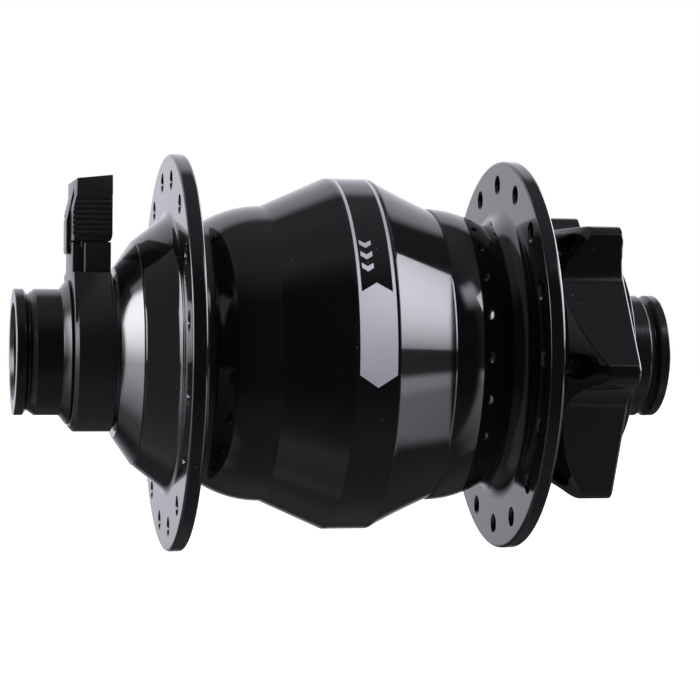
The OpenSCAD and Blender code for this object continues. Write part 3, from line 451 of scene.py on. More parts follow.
def evaluated(piece):
    """Puts the result of a piece's modifiers into its own mesh and removes them"""
    depsgraph = bpy.context.evaluated_depsgraph_get()
    mesh = bpy.data.meshes.new_from_object(piece.evaluated_get(depsgraph))
    piece.modifiers.clear()
    old, piece.data = piece.data, mesh
    bpy.data.meshes.remove(old)
    mesh.name = piece.name
    if not mesh.polygons:
        raise RuntimeError(f"{piece.name} has no faces left")
    return piece


def cut_or_join(piece, others, operation):
    """Joins other solids to a piece, or cuts them out of it, and removes them"""
    for other in others:
        modifier = piece.modifiers.new(operation.lower(), "BOOLEAN")
        modifier.operation = operation
        modifier.solver = "EXACT"
        modifier.object = other
        evaluated(piece)
        discard(other)
    return piece


def discard(piece):
    """Removes a tool with its mesh"""
    mesh = piece.data
    bpy.data.objects.remove(piece)
    bpy.data.meshes.remove(mesh)


def dressed(piece, material, body, slot, *nodes):
    """Smooth shading, finish and place in the assembly of a finished piece"""
    piece.data.materials.clear()
    piece.data.materials.append(material)
    for face in piece.data.polygons:
        face.material_index = 0
    piece.data.shade_smooth()
    piece.data.set_sharp_from_angle(angle=SHARP_ANGLE)
    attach(piece, body)
    if nodes:
        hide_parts(*nodes)
    return piece


# Geometry Nodes

def new_tree(name, sockets):
    """Empty tree with a Body in and out and further named inputs"""
    tree = bpy.data.node_groups.new(name, "GeometryNodeTree")
    tree.interface.new_socket("Body", in_out="INPUT", socket_type="NodeSocketGeometry")
    for socket, kind in sockets.items():
        tree.interface.new_socket(socket, in_out="INPUT", socket_type=kind)
    tree.interface.new_socket("Body", in_out="OUTPUT", socket_type="NodeSocketGeometry")
    return tree, tree.nodes.new("NodeGroupInput"), tree.nodes.new("NodeGroupOutput")


def finish_tree(tree, inputs, outputs, points, operation):
    """Sets the Tool on points, cuts or joins it with the Body, and gives the result the Finish"""
    nodes, link = tree.nodes, tree.links.new
    tool = nodes.new("GeometryNodeObjectInfo")
    placed = nodes.new("GeometryNodeInstanceOnPoints")
    solid = nodes.new("GeometryNodeRealizeInstances")
    boolean = nodes.new("GeometryNodeMeshBoolean")
    boolean.operation = operation
    boolean.solver = "EXACT"
    real = nodes.new("GeometryNodeRealizeInstances")
    finish = nodes.new("GeometryNodeSetMaterial")
    link(inputs.outputs["Tool"], tool.inputs["Object"])
    link(points, placed.inputs["Points"])
    link(tool.outputs["Geometry"], placed.inputs["Instance"])
    link(placed.outputs["Instances"], solid.inputs["Geometry"])
    if operation == "DIFFERENCE":
        link(inputs.outputs["Body"], boolean.inputs["Mesh 1"])
    else:
        link(inputs.outputs["Body"], boolean.inputs["Mesh 2"])
    link(solid.outputs["Geometry"], boolean.inputs["Mesh 2"])
    link(boolean.outputs["Mesh"], real.inputs["Geometry"])
    link(real.outputs["Geometry"], finish.inputs["Geometry"])
    link(inputs.outputs["Finish"], finish.inputs["Material"])
    link(finish.outputs["Geometry"], outputs.inputs["Body"])
    return tree


def hole_ring_tree():
    """Cuts a ring of equal holes along the axle into a turned body"""
    tree, inputs, outputs = new_tree("hole_ring", {
        "Tool": "NodeSocketObject", "Holes": "NodeSocketInt", "Circle radius": "NodeSocketFloat",
        "First hole": "NodeSocketFloat", "Finish": "NodeSocketMaterial"})
    nodes, link = tree.nodes, tree.links.new
    circle = nodes.new("GeometryNodeMeshCircle")
    back = nodes.new("ShaderNodeMath")
    back.operation = "MULTIPLY"
    back.inputs[1].default_value = -1
    turn = nodes.new("ShaderNodeCombineXYZ")
    turn.inputs["X"].default_value = math.pi / 2
    euler = nodes.new("FunctionNodeEulerToRotation")
    upright = nodes.new("GeometryNodeTransform")
    link(inputs.outputs["Holes"], circle.inputs["Vertices"])
    link(inputs.outputs["Circle radius"], circle.inputs["Radius"])
    link(inputs.outputs["First hole"], back.inputs[0])
    link(back.outputs["Value"], turn.inputs["Y"])
    link(turn.outputs["Vector"], euler.inputs["Euler"])
    link(circle.outputs["Mesh"], upright.inputs["Geometry"])
    link(euler.outputs["Rotation"], upright.inputs["Rotation"])
    return finish_tree(tree, inputs, outputs, upright.outputs["Geometry"], "DIFFERENCE")


def rib_row_tree():
    """Sets a row of equal ribs up one side of a body"""
    tree, inputs, outputs = new_tree("rib_row", {
        "Tool": "NodeSocketObject", "Ribs": "NodeSocketInt", "First rib": "NodeSocketVector",
        "Pitch": "NodeSocketVector", "Finish": "NodeSocketMaterial"})
    line = tree.nodes.new("GeometryNodeMeshLine")
    line.mode = "OFFSET"
    tree.links.new(inputs.outputs["Ribs"], line.inputs["Count"])
    tree.links.new(inputs.outputs["First rib"], line.inputs["Start Location"])
    tree.links.new(inputs.outputs["Pitch"], line.inputs["Offset"])
    return finish_tree(tree, inputs, outputs, line.outputs["Mesh"], "UNION")


def through_tree(piece, tree, values):
    """Runs a piece through a tree, with its inputs set by name"""
    modifier = piece.modifiers.new(tree.name, "NODES")
    modifier.node_group = tree
    for item in tree.interface.items_tree:
        if item.in_out == "INPUT" and item.name in values:
            modifier[item.identifier] = values[item.name]
    return evaluated(piece)


def kept_tree(name, build):
    """The tree of that name, built on first use"""
    return bpy.data.node_groups.get(name) or build()


def with_hole_ring(piece, outline, holes, circle_r, first, material):
    """Cuts holes of a turned outline into a piece"""
    tool = turned("hole_tool", outline, steps=HOLE_STEPS)
    through_tree(piece, kept_tree("hole_ring", hole_ring_tree), {
        "Tool": tool, "Holes": holes, "Circle radius": circle_r, "First hole": first, "Finish": material})
    discard(tool)
    return piece


def with_ribs(piece, tool, ribs, first, pitch, material):
    """Sets a row of ribs on a piece"""
    through_tree(piece, kept_tree("rib_row", rib_row_tree), {
        "Tool": tool, "Ribs": ribs, "First rib": first, "Pitch": pitch, "Finish": material})
    return piece


# Materials

class Finish:
    """A procedural material under construction"""

    def __init__(self, name):
        self.material = bpy.data.materials.new(name)
        self.material.use_nodes = True
        self.nodes = self.material.node_tree.nodes
        self.shader = self.nodes["Principled BSDF"]
        self.place = self.nodes.new("ShaderNodeTexCoord").outputs["Object"]

    def link(self, source, target):
        self.material.node_tree.links.new(source, target)

    def noise(self, scale, detail=3, stretch=(1, 1, 1)):
        """Noise with features of about 1/scale metres, stretched along the axes"""
        mapping = self.nodes.new("ShaderNodeMapping")
        mapping.inputs["Scale"].default_value = stretch
        texture = self.nodes.new("ShaderNodeTexNoise")
        texture.inputs["Scale"].default_value = scale
        texture.inputs["Detail"].default_value = detail
        self.link(self.place, mapping.inputs["Vector"])
        self.link(mapping.outputs["Vector"], texture.inputs["Vector"])
        return texture.outputs["Fac"]

    def specks(self, scale, size):
        """1 inside sparse round specks of a size in metres, 0 elsewhere"""
        cells = self.nodes.new("ShaderNodeTexVoronoi")
        cells.inputs["Scale"].default_value = scale
        self.link(self.place, cells.inputs["Vector"])
        return self.ranged(cells.outputs["Distance"], size * scale, size * scale / 2, 0, 1)

    def rings(self, scale):
        """Bands along the axle, scale of them to a metre"""
        wave = self.nodes.new("ShaderNodeTexWave")
        wave.wave_type = "BANDS"
        wave.bands_direction = "Y"
        wave.inputs["Scale"].default_value = scale / (20 / math.tau)
        self.link(self.place, wave.inputs["Vector"])
        return wave.outputs["Fac"]

    def ranged(self, source, from_low, from_high, low, high):
        """A value mapped from one range to another"""
        node = self.nodes.new("ShaderNodeMapRange")
        limits = {"From Min": from_low, "From Max": from_high, "To Min": low, "To Max": high}
        for socket, value in limits.items():
            node.inputs[socket].default_value = value
        self.link(source, node.inputs["Value"])
        return node.outputs["Result"]

    def mixed(self, share, first, second):
        """A colour that runs from the first to the second"""
        node = self.nodes.new("ShaderNodeMix")
        node.data_type = "RGBA"
        node.inputs[6].default_value = (*first, 1)
        node.inputs[7].default_value = (*second, 1)
        self.link(share, node.inputs[0])
        return node.outputs[2]

    def bump(self, height, depth):
        """Relief of a depth in metres"""
        node = self.nodes.new("ShaderNodeBump")
        node.inputs["Strength"].default_value = 1
        node.inputs["Distance"].default_value = depth
        self.link(height, node.inputs["Height"])
        self.link(node.outputs["Normal"], self.shader.inputs["Normal"])


def plain_finish(name, colour, metallic, rough, grain, depth, stretch=(1, 1, 1), drift=0.25):
    """Even material with a fine grain in its relief and a slow drift of colour and gloss"""
    made = Finish(name)
    made.shader.inputs["Metallic"].default_value = metallic
    slow = made.noise(60)
    fine = made.noise(grain, 4, stretch)
    lighter = tuple(min(1, c * (1 + drift)) for c in colour)
    made.link(made.mixed(slow, colour, lighter), made.shader.inputs["Base Color"])
    made.link(made.ranged(slow, 0.3, 0.7, rough * 0.88, rough * 1.12), made.shader.inputs["Roughness"])
    made.bump(fine, depth)
    return made


def gloss_black(finishes):
    """Polished black coat with a faint waviness and dust specks"""
    made = Finish("gloss_black")
    dust = made.specks(430, 0.075 * MM)
    colour = made.mixed(dust, finishes.shell, finishes.dust)
    made.link(colour, made.shader.inputs["Base Color"])
    haze = made.ranged(made.noise(45), 0.3, 0.7, finishes.shell_rough * 0.8, finishes.shell_rough * 1.2)
    lifted = made.nodes.new("ShaderNodeMath")
    lifted.operation = "MAXIMUM"
    made.link(haze, lifted.inputs[0])
    made.link(made.ranged(dust, 0, 1, 0, 0.7), lifted.inputs[1])
    made.link(lifted.outputs["Value"], made.shader.inputs["Roughness"])
    made.bump(made.noise(260, 2), 0.0012 * MM)
    return made.material


def turned_black(finishes):
    """Polished black coat over fine turning marks, a little brighter than the shell's"""
    made = plain_finish(
        "turned_black", finishes.shell, 0, finishes.cover_rough, 2600, 0.001 * MM, TURNING_MARKS)
    made.shader.inputs["IOR"].default_value = finishes.cover_ior
    return made.material


def marking_foil(finishes):
    """Silver print with a fine grain"""
    made = plain_finish("silver_marking", finishes.marking, 0.75, 0.5, 9000, 0.002 * MM, drift=0.05)
    return made.material


def wound_copper():
    """Enamelled copper turns laid side by side"""
    made = plain_finish("wound_copper", (0.48, 0.16, 0.06), 1, 0.32, 2500, 0.004 * MM)
    made.bump(made.rings(1 / (0.45 * MM)), 0.12 * MM)
    return made.material


# Pieces

class HUB_OT_left_shell(bpy.types.Operator):
    """Turns the left half of the shell and drills its flange"""

    bl_idname = "hub.left_shell"
    bl_label = "Left shell"

    def execute(self, context):
        s, material = context.scene.hub_shell, gloss_material(context)
        seam = ends("left_shell")[0]
        out, inn = s.left_flange_y - s.flange_t / 2, s.left_flange_y + s.flange_t / 2
        lean = math.atan2(s.nose_root_r - s.nose_r, out - seam)
        fillet_y = out - s.nose_fillet
        fillet_r = s.nose_r + math.tan(lean) * (fillet_y - seam) + s.nose_fillet / math.cos(lean)
        spigot_r = reach("shell_seal_ring") + FIT
        spigot_y = ends("right_shell")[0] - FIT
        bearing_r = reach("left_bearing_outer_ring") + FIT
        bearing_y = ends("left_bearing_outer_ring")[1]
        pocket_r, pocket_y = reach("magnet_yoke") + FIT, ends("magnet_yoke")[0] - FIT
        web_r = reach("left_dust_seal") + FIT
        soft = s.edge / 2
        outer = [
            (s.nose_r - s.edge, seam, soft), (s.nose_r, seam + s.edge, soft),
            *arc(fillet_r, fillet_y, s.nose_fillet, math.degrees(lean) - 90, 0, 12), *rim(s, out, inn),
            *mirrored(dome(s, -inn - s.left_root, s.left_foot_r, -inn)),
            (s.band_r, -s.band_y, soft), (s.band_r, s.band_y, soft / 2)]
        inner = [
            (spigot_r, s.band_y), (spigot_r, spigot_y), (pocket_r, spigot_y), (pocket_r, pocket_y),
            (s.waist_r - s.wall, pocket_y), (s.waist_r - s.wall, -s.waist_y),
            (s.left_foot_r - s.wall, bearing_y + WEB_T), (web_r, bearing_y + WEB_T), (web_r, bearing_y),
            (bearing_r, bearing_y), (bearing_r, seam)]
        piece = turned("left_shell_body", supported(rounded(outer + inner)))
        step = math.pi / s.spoke_holes
        with_hole_ring(
            piece, spoke_hole_outline(s, out, inn), s.spoke_holes, s.spoke_circle_r, s.spoke_phase + step,
            material)
        dressed(piece, material, "shell", "gloss_black_shell", "left_shell")
        return {"FINISHED"}


def gloss_material(context):
    """The shell's material, made on first use"""
    return bpy.data.materials.get("gloss_black") or gloss_black(context.scene.hub_finishes)


def spoke_hole_outline(s, out, inn):
    """Outline of a hole through a flange with both mouths chamfered"""
    hole, mouth, edge = s.spoke_hole_r, s.spoke_hole_r + s.spoke_chamfer, 0.1 * MM
    return rounded([
        (0, out - PAST), (mouth + PAST / 2, out - PAST / 2), (hole, out + s.spoke_chamfer, edge),
        (hole, inn - s.spoke_chamfer, edge), (mouth + PAST / 2, inn + PAST / 2), (0, inn + PAST)])


class HUB_OT_right_shell(bpy.types.Operator):
    """Shapes the right half of the shell with its lobed rotor mount and drills it"""

    bl_idname = "hub.right_shell"
    bl_label = "Right shell"

    def execute(self, context):
        s, r, material = context.scene.hub_shell, context.scene.hub_rotor, gloss_material(context)
        spigot_y, top = ends("right_shell")
        inn, out = s.right_flange_y - s.flange_t / 2, s.right_flange_y + s.flange_t / 2
        spigot_r = reach("shell_seal_ring")
        seal_low, seal_high = ends("shell_seal_ring")
        groove_r = spigot_r - (seal_high - seal_low)
        bearing_r = reach("right_bearing_outer_ring") + FIT
        bearing_y = ends("right_bearing_outer_ring")[0]
        pocket_r, pocket_y = reach("magnet_yoke") + FIT, ends("magnet_yoke")[1] + FIT
        web_r = reach("right_bearing_inner_ring") + WEB_OVER_RING
        soft, fillet = s.edge / 2, 0.5 * MM
        crown, *arch = dome(s, inn - s.right_root, s.right_foot_r, inn)
        band, waist = (s.band_r, s.band_y), (s.waist_r - s.waist_step, s.waist_y)
        before = [
            (spigot_r, spigot_y), (spigot_r, seal_low - FIT), (groove_r, seal_low - FIT),
            (groove_r, seal_high + FIT), (spigot_r, seal_high + FIT), (spigot_r, s.band_y),
            (*band, soft / 2), *hollow(band, waist, s.cone_sag), (*waist, soft), (*crown, s.edge), *arch,
            *rim(s, inn, out), (r.core_r, out, fillet)]
        after = [
            (r.register_r, r.seat_y), (r.register_r, top - soft, soft), (r.register_r - soft, top, soft),
            (bearing_r, top), (bearing_r, bearing_y), (web_r, bearing_y), (web_r, bearing_y - WEB_T),
            (r.register_r, bearing_y - WEB_T), (r.register_r, inn),
            (s.right_foot_r - s.wall, inn - s.right_root), (s.waist_r - s.wall, s.waist_y),
            (s.waist_r - s.wall, pocket_y), (pocket_r, pocket_y), (pocket_r, spigot_y)]
        slope_y = r.seat_y - r.full - (r.lobe_reach + r.tip_r - r.core_r)
        whole = rounded(before + [(r.core_r, slope_y)] + after)
        split = min(range(len(whole)), key=lambda i: math.dist(whole[i], (r.core_r, slope_y)))
        lower, upper = supported_open(whole[:split + 1]), supported_open(whole[split + 1:])
        columns = []
        for spot, normal in lobe_outline(r):
            ray = spot.normalized()
            column = [(d * ray.x, y, d * ray.y) for d, y in lower]
            column += lobe_column(r, spot, normal, slope_y)
            column += [(d * ray.x, y, d * ray.y) for d, y in upper]
            columns.append(column)
        piece = woven("right_shell_body", columns)
        with_hole_ring(
            piece, spoke_hole_outline(s, inn, out), s.spoke_holes, s.spoke_circle_r, s.spoke_phase, material)
        with_hole_ring(
            piece, bolt_hole_outline(r, out + r.bolt_floor), r.lobes, r.bolt_circle_r, r.phase + r.lead,
            material)
        dressed(piece, material, "shell", "gloss_black_shell", "right_shell")
        return {"FINISHED"}


def supported_open(points):
    """Support points on an open stretch of an outline"""
    closed = supported(points)
    return closed[:closed.index(points[-1]) + 1]


def lobe_outline(r):
    """Points of the rotor mount's outline in (X, Z), each with its outward direction"""
    tilt = math.acos((r.core_r - r.tip_r) / r.lobe_reach)
    far, near = r.core_r + r.hollow_r, r.tip_r + r.hollow_r
    bend = math.acos((far ** 2 + r.lobe_reach ** 2 - near ** 2) / (2 * far * r.lobe_reach))
    tip = Vector((r.lobe_reach, 0))
    hollow = Vector((far * math.cos(bend), -far * math.sin(bend)))
    start, stop = math.pi - bend, math.atan2(tip.y - hollow.y, tip.x - hollow.x)
    lobe = []
    for i in range(HOLLOW_STEPS):
        ray = direction(start + (stop - start) * i / HOLLOW_STEPS)
        lobe.append((hollow + r.hollow_r * ray, -ray))
    for i in range(TIP_STEPS + 1):
        ray = direction(stop - math.pi + (tilt - stop + math.pi) * i / TIP_STEPS)
        lobe.append((tip + r.tip_r * ray, ray))
    side, foot = lobe[-1][0], r.core_r * direction(tilt)
    for i in range(1, HOLLOW_STEPS + 1):
        lobe.append((side.lerp(foot, i / HOLLOW_STEPS), direction(tilt)))
    points = []
    for i in range(r.lobes):
        turn = Matrix.Rotation(r.phase + math.tau * i / r.lobes, 2)
        points += [(turn @ spot, turn @ normal) for spot, normal in lobe]
    return points


def direction(a):
    """Unit vector at an angle"""
    return Vector((math.cos(a), math.sin(a)))


def lobe_column(r, spot, normal, slope_y):
    """One column of the rotor mount: up the sloping back, the side and over the edge to the seat"""
    ray, rise = spot.normalized(), spot.length - r.core_r
    corner_y = slope_y + rise
    half_bend = math.tan(math.pi / 8)
    trim = min(r.back_round * half_bend, 0.6 * rise)
    bend = trim / half_bend
    rows = []
    for i in range(EDGE_STEPS + 1):
        a = math.radians(45 * (1 - i / EDGE_STEPS))
        inset = bend * (1 - math.cos(a))
        rows.append((ray * (spot.length - inset), corner_y + trim - bend * math.sin(a)))
    rows.append((spot, corner_y + trim + SUPPORT))
    flat = r.seat_y - r.seat_round
    rows.append((spot, flat - SUPPORT))
    for i in range(EDGE_STEPS + 1):
        a = math.radians(90 * i / EDGE_STEPS)
        rows.append((spot - normal * r.seat_round * (1 - math.cos(a)), flat + r.seat_round * math.sin(a)))
    rows.append((rows[-1][0] - normal * SUPPORT, r.seat_y))
    return [(p.x, y, p.y) for p, y in rows]


def bolt_hole_outline(r, floor_y):
    """Outline of a threaded hole with a chamfered mouth at the seat"""
    top = r.seat_y
    points = [(0, floor_y), (r.bolt_r, floor_y)]
    turns = int((top - floor_y - r.thread_pitch) / r.thread_pitch)
    for i in range(turns):
        y = floor_y + (i + 0.5) * r.thread_pitch
        points += [
            (r.bolt_r, y), (r.bolt_r + r.thread_h, y + 0.4 * r.thread_pitch),
            (r.bolt_r + r.thread_h, y + 0.5 * r.thread_pitch), (r.bolt_r, y + 0.9 * r.thread_pitch)]
    points += [(r.bolt_r, top - r.seat_round), (r.bolt_r + r.seat_round + PAST, top + PAST), (0, top + PAST)]
    return points


class HUB_OT_left_cover(bpy.types.Operator):
    """Turns the cone-shaped cover over the left bearing"""

    bl_idname = "hub.left_cover"
    bl_label = "Left cover"

    def execute(self, context):
        e = context.scene.hub_ends
        low, high = ends("left_cover")
        seam = ends("left_shell")[0]
        seal_y = ends("left_dust_seal")[0] - FIT
        large, spigot = reach("left_cover"), reach("left_bearing_outer_ring")
        inside = reach("left_dust_seal") + FIT
        outline = rounded([
            (e.cover_lip_r, low, e.edge), (e.cover_small_r, low, e.edge), (large, seam - 2 * e.edge, e.edge),
            (large, seam, e.edge / 2), (spigot, seam), (spigot, high), (inside, high), (inside, seal_y),
            (e.cover_lip_r, seal_y, e.edge)])
        piece = turned("left_cover_cone", supported(outline))
        dressed(piece, turned_black(context.scene.hub_finishes), "shell", "gloss_black_shell", "left_cover")
        return {"FINISHED"}


class HUB_OT_end_caps(bpy.types.Operator):
    """Turns both grooved end caps"""

    bl_idname = "hub.end_caps"
    bl_label = "End caps"

    def execute(self, context):
        e, f = context.scene.hub_ends, context.scene.hub_finishes
        finish = plain_finish("satin_black", f.cap, 0, f.cap_rough, 2600, 0.004 * MM, TURNING_MARKS)
        finish.shader.inputs["IOR"].default_value = f.cap_ior
        material = finish.material
        left_low, left_high = ends("left_end_cap")
        right_low, right_high = ends("right_end_cap")
        left_len, right_len = left_high - left_low, right_high - right_low
        flare_end = left_len - e.flare_neck
        neck_r = (e.cap_r + e.flare_r) / 2
        fillet, land_step = 0.3 * MM, 0.3 * MM
        left = cap_outline(e, LEFT_NECK_R, left_len, [
            (e.cap_r, flare_end - e.flare_len, fillet), (e.flare_r, flare_end - 2 * e.edge, e.edge),
            (e.flare_r, flare_end, e.edge / 2), (neck_r, flare_end), (neck_r, left_len, e.edge)])
        land = right_len - (right_high - ends("right_shell")[1])
        right = cap_outline(e, RIGHT_SEAT_R, right_len, [
            (e.cap_r, right_len - land, e.edge), (e.cap_r - land_step, right_len - land),
            (e.cap_r - land_step, right_len)])
        left_piece = turned("left_end_cap_turned", [(r, left_low + y) for r, y in left])
        dressed(left_piece, material, "axle", "satin_black_cap", "left_end_cap")
        right_piece = turned("right_end_cap_turned", [(r, right_high - y) for r, y in right])
        dressed(right_piece, material, "axle", "satin_black_cap", "right_end_cap")
        return {"FINISHED"}


def cap_outline(e, axle_r, cap_len, inner_end):
    """An end cap's outline by distance from its end face"""
    fit_r = axle_r + FIT
    grip_r = fit_r + FIT + e.grip_t
    grip_y = e.end_wall + 2 * e.grip_t
    half = e.groove_t / 2
    return supported(rounded([
        (e.bore_r, e.end_wall), (e.bore_r, e.mouth, e.edge), (e.bore_r + e.mouth, 0, e.edge),
        (e.cap_r, 0, 2.5 * e.edge), (e.cap_r, e.rim_w, e.edge),
        (e.cap_r - e.groove_h, e.rim_w + e.groove_w * e.groove_lean, 1.5 * e.edge),
        (e.cap_r, e.rim_w + e.groove_w, e.edge), *inner_end, (fit_r, cap_len),
        (fit_r, grip_y + half), (grip_r, grip_y + half), (grip_r, grip_y - half), (fit_r, grip_y - half),
        (fit_r, e.end_wall)]))


class HUB_OT_axle(bpy.types.Operator):
    """Turns the hollow axle and mills the wire groove and the key slot"""

    bl_idname = "hub.axle"
    bl_label = "Axle"

    def execute(self, context):
        e = context.scene.hub_ends
        material = plain_finish(
            "dark_aluminium", (0.06, 0.06, 0.065), 0.9, 0.34, 2400, 0.003 * MM, TURNING_MARKS).material
        low, high = ends("axle_tube")
        left_neck, right_seat = LEFT_NECK_R, RIGHT_SEAT_R
        left_seat = left_neck + 1 * MM
        nut_room, wire_stop = 0.5 * MM, 1.3 * MM
        key_half, key_depth = 1.5 * MM, 0.7 * MM
        base_y = ends("plug_base")[1]
        bearing_y = ends("left_bearing_inner_ring")[1]
        collar_r, collar_y, collar_w = reach("axle_tube"), ends("left_claw_plate")[0], 2 * MM
        nut_y = ends("stator_nut")[1] + nut_room
        stop_y = ends("right_bearing_inner_ring")[0]
        step = 0.8 * MM
        outline = rounded([
            (e.bore_r, low), (left_neck, low, e.edge), (left_neck, base_y), (left_seat, base_y, e.edge),
            (left_seat, bearing_y), (left_seat + step, bearing_y, e.edge),
            (left_seat + step, collar_y - collar_w), (collar_r, collar_y - collar_w, e.edge),
            (collar_r, collar_y, e.edge), (left_seat, collar_y), (left_seat, nut_y, e.edge),
            (right_seat + step, nut_y), (right_seat + step, stop_y, e.edge), (right_seat, stop_y),
            (right_seat, high, e.edge), (e.bore_r, high)])
        piece = turned("axle_tube_turned", supported(outline))
        wires_low, wires_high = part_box("lead_wires")
        play = 0.1 * MM
        groove = block(
            "wire_groove", (wires_low.x - play, wires_low.y - play, wires_low.z - FIT),
            (wires_high.x + play, collar_y - collar_w - wire_stop, left_seat + 2 * step))
        key = block(
            "key_slot", (-key_half, low - step, -left_neck - step), (key_half, base_y, key_depth - left_neck))
        cut_or_join(piece, [groove, key], "DIFFERENCE")
        dressed(piece, material, "axle", "axle_aluminium", "axle_tube")
        return {"FINISHED"}


class HUB_OT_seal(bpy.types.Operator):
    """Turns the right dust seal with its rounded lip"""

    bl_idname = "hub.seal"
    bl_label = "Right dust seal"

    def execute(self, context):
        low, high = ends("right_dust_seal")
        outer, lip = reach("right_dust_seal"), 10.5 * MM
        edge, bevel, lip_in = 0.15 * MM, 0.3 * MM, 0.1 * MM
        rim_w, dish = 0.9 * MM, 0.35 * MM
        outline = rounded([
            (lip, low + bevel, edge), (outer, low, edge), (outer, high, edge), (outer - rim_w, high, edge),
            (outer - rim_w - bevel, high - dish, edge), (lip + rim_w, high - dish, edge),
            (lip, high - lip_in, edge)])
        piece = turned("right_seal_ring", supported(outline))
        dressed(piece, rubber(), "shell", "black_rubber", "right_dust_seal")
        return {"FINISHED"}


def rubber():
    """The seals' material, made on first use"""
    return bpy.data.materials.get("seal_rubber") or plain_finish(
        "seal_rubber", (0.012, 0.012, 0.012), 0, 0.6, 5200, 0.008 * MM).material


class HUB_OT_plug_base(bpy.types.Operator):
    """Builds the plug base: ring, foot, tower and tongue"""

    bl_idname = "hub.plug_base"
    bl_label = "Plug base"

    def execute(self, context):
        p = context.scene.hub_plug
        low, high = ends("plug_base")
        tower_r = low + p.tower_t
        mid = low + p.tower_t / 2
        into_ring, over_bore = 0.25 * MM, 0.2 * MM
        sunk = p.ring_r - into_ring
        root = math.atan2(p.foot_z, p.foot_x) - math.acos(p.ring_r / math.hypot(p.foot_x, p.foot_z))
        root_x, root_z = sunk * math.cos(root), sunk * math.sin(root)
        bore = LEFT_NECK_R + FIT
        ring = turned("plug_base_moulding", supported(rounded([
            (bore, low, p.edge), (p.ring_r - p.ring_chamfer, low, p.edge),
            (p.ring_r, low + p.ring_chamfer, p.edge), (p.ring_r, high, p.edge), (bore, high, p.edge)])))
        floor = bore + over_bore
        foot = prism("foot", [
            (-root_x, root_z), (-floor / 2, floor), (floor / 2, floor), (root_x, root_z),
            (p.foot_x, p.foot_z), (-p.foot_x, p.foot_z)], "Y", low, tower_r, p.edge)
        tower = block("tower", (-p.tower_x, low + p.plate_t, floor), (p.tower_x, tower_r, p.tower_z), p.edge)
        plate_x = p.tower_x - p.plate_in
        plate = block("plate", (-plate_x, low, floor), (plate_x, tower_r - p.edge, p.tower_z), p.edge)
        tongue_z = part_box("plug_base")[1].z
        tongue = block(
            "tongue", (-p.tongue_x, mid - p.tongue_t / 2, p.tower_z - PAST),
            (p.tongue_x, mid + p.tongue_t / 2, tongue_z), p.edge)
        cut_or_join(ring, [foot, tower, plate, tongue], "UNION")
        dressed(ring, plastic(context), "axle", "black_plastic", "plug_base")
        return {"FINISHED"}


def plastic(context):
    """The plug's and its base's material, made on first use"""
    f = context.scene.hub_finishes
    return bpy.data.materials.get("moulded_plastic") or plain_finish(
        "moulded_plastic", f.plastic, 0, f.plastic_rough, 7000, 0.006 * MM).material


class HUB_OT_plug(bpy.types.Operator):
    """Builds the lamp plug: head, ribbed grip, latch, wire holes and the socket for the tongue"""

    bl_idname = "hub.plug"
    bl_label = "Lamp plug"

    def execute(self, context):
        p, material = context.scene.hub_plug, plastic(context)
        low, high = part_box("plug_housing")
        base_l = ends("plug_base")[0]
        skirt_z = p.tower_z + p.gap
        head_z, head_l = skirt_z + p.grip_h, base_l + p.head_in
        half, grip_x = high.x, high.x - p.rib_h
        grip = prism("plug_moulding", [
            (base_l, skirt_z), (base_l, head_z - p.step_h), (head_l, head_z), (high.y, head_z),
            (high.y, skirt_z + p.skirt_h), (high.y - p.skirt_in, skirt_z)], "X", -grip_x, grip_x, p.edge)
        head = prism("head", [
            (base_l + p.edge, head_z - p.step_h), (head_l, head_z - p.edge), (head_l, high.z - p.top_fall),
            (high.y, high.z), (high.y, head_z - p.edge)], "X", -half, half, p.edge)
        latch_top = head_z - p.step_h - p.latch_below
        root, free_z = head_l + 2 * p.edge, skirt_z + p.grip_h / 2
        toe_in, toe_h, latch_edge = 0.15 * MM, 0.5 * MM, 0.1 * MM
        latch = prism("latch", [
            (low.y + toe_in, low.z), (low.y, low.z + toe_h), (low.y, latch_top),
            (head_l, head_z + p.latch_rise), (root, head_z + p.latch_rise), (root, free_z),
            (base_l - p.gap, free_z), (base_l - p.gap, low.z)], "X", -p.latch_x, p.latch_x, latch_edge)
        cut_or_join(grip, [head, latch], "UNION")
        pitch = (p.grip_h - p.skirt_h) / p.ribs
        rib_half, rib_sides = 0.42 * pitch, 12
        rib_stop, sunk = 0.35 * MM, 0.01 * MM
        rib = prism("rib", [
            (p.rib_h * math.cos(math.tau * i / rib_sides), rib_half * math.sin(math.tau * i / rib_sides))
            for i in range(rib_sides)], "Y", base_l - p.rib_out, high.y - rib_stop, 0)
        bevels = []
        for side in (-1, 1):
            first = (side * (grip_x - sunk), 0, skirt_z + p.skirt_h + 0.5 * pitch)
            with_ribs(grip, rib, p.ribs, first, (0, 0, pitch), material)
            bevels.append(prism("bevel", [
                (low.y, head_z - p.bevel_h), (base_l - p.rib_out, head_z - p.bevel_h), (head_l, head_z),
                (low.y, head_z)], "X", *sorted((side * p.latch_x, side * 2 * half)), 0))
        discard(rib)
        mid = base_l + p.tower_t / 2
        tongue_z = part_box("plug_base")[1].z + p.gap
        socket = block(
            "socket", (-p.tongue_x - p.gap, mid - p.tongue_t / 2 - p.gap, skirt_z - PAST),
            (p.tongue_x + p.gap, mid + p.tongue_t / 2 + p.gap, tongue_z))
        sleeve_low, sleeve_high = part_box("plug_sleeves")
        room = block(
            "sleeve_room", (sleeve_low.x - FIT, sleeve_low.y - FIT, tongue_z - PAST / 2),
            (sleeve_high.x + FIT, sleeve_high.y + FIT, sleeve_high.z + FIT))
        holes = [wire_hole(p, side * p.wire_x, mid, tongue_z, high.z + PAST) for side in (-1, 1)]
        cut_or_join(grip, [socket, room, *holes, *bevels], "DIFFERENCE")
        dressed(grip, material, "plug", "black_plastic", "plug_housing")
        return {"FINISHED"}


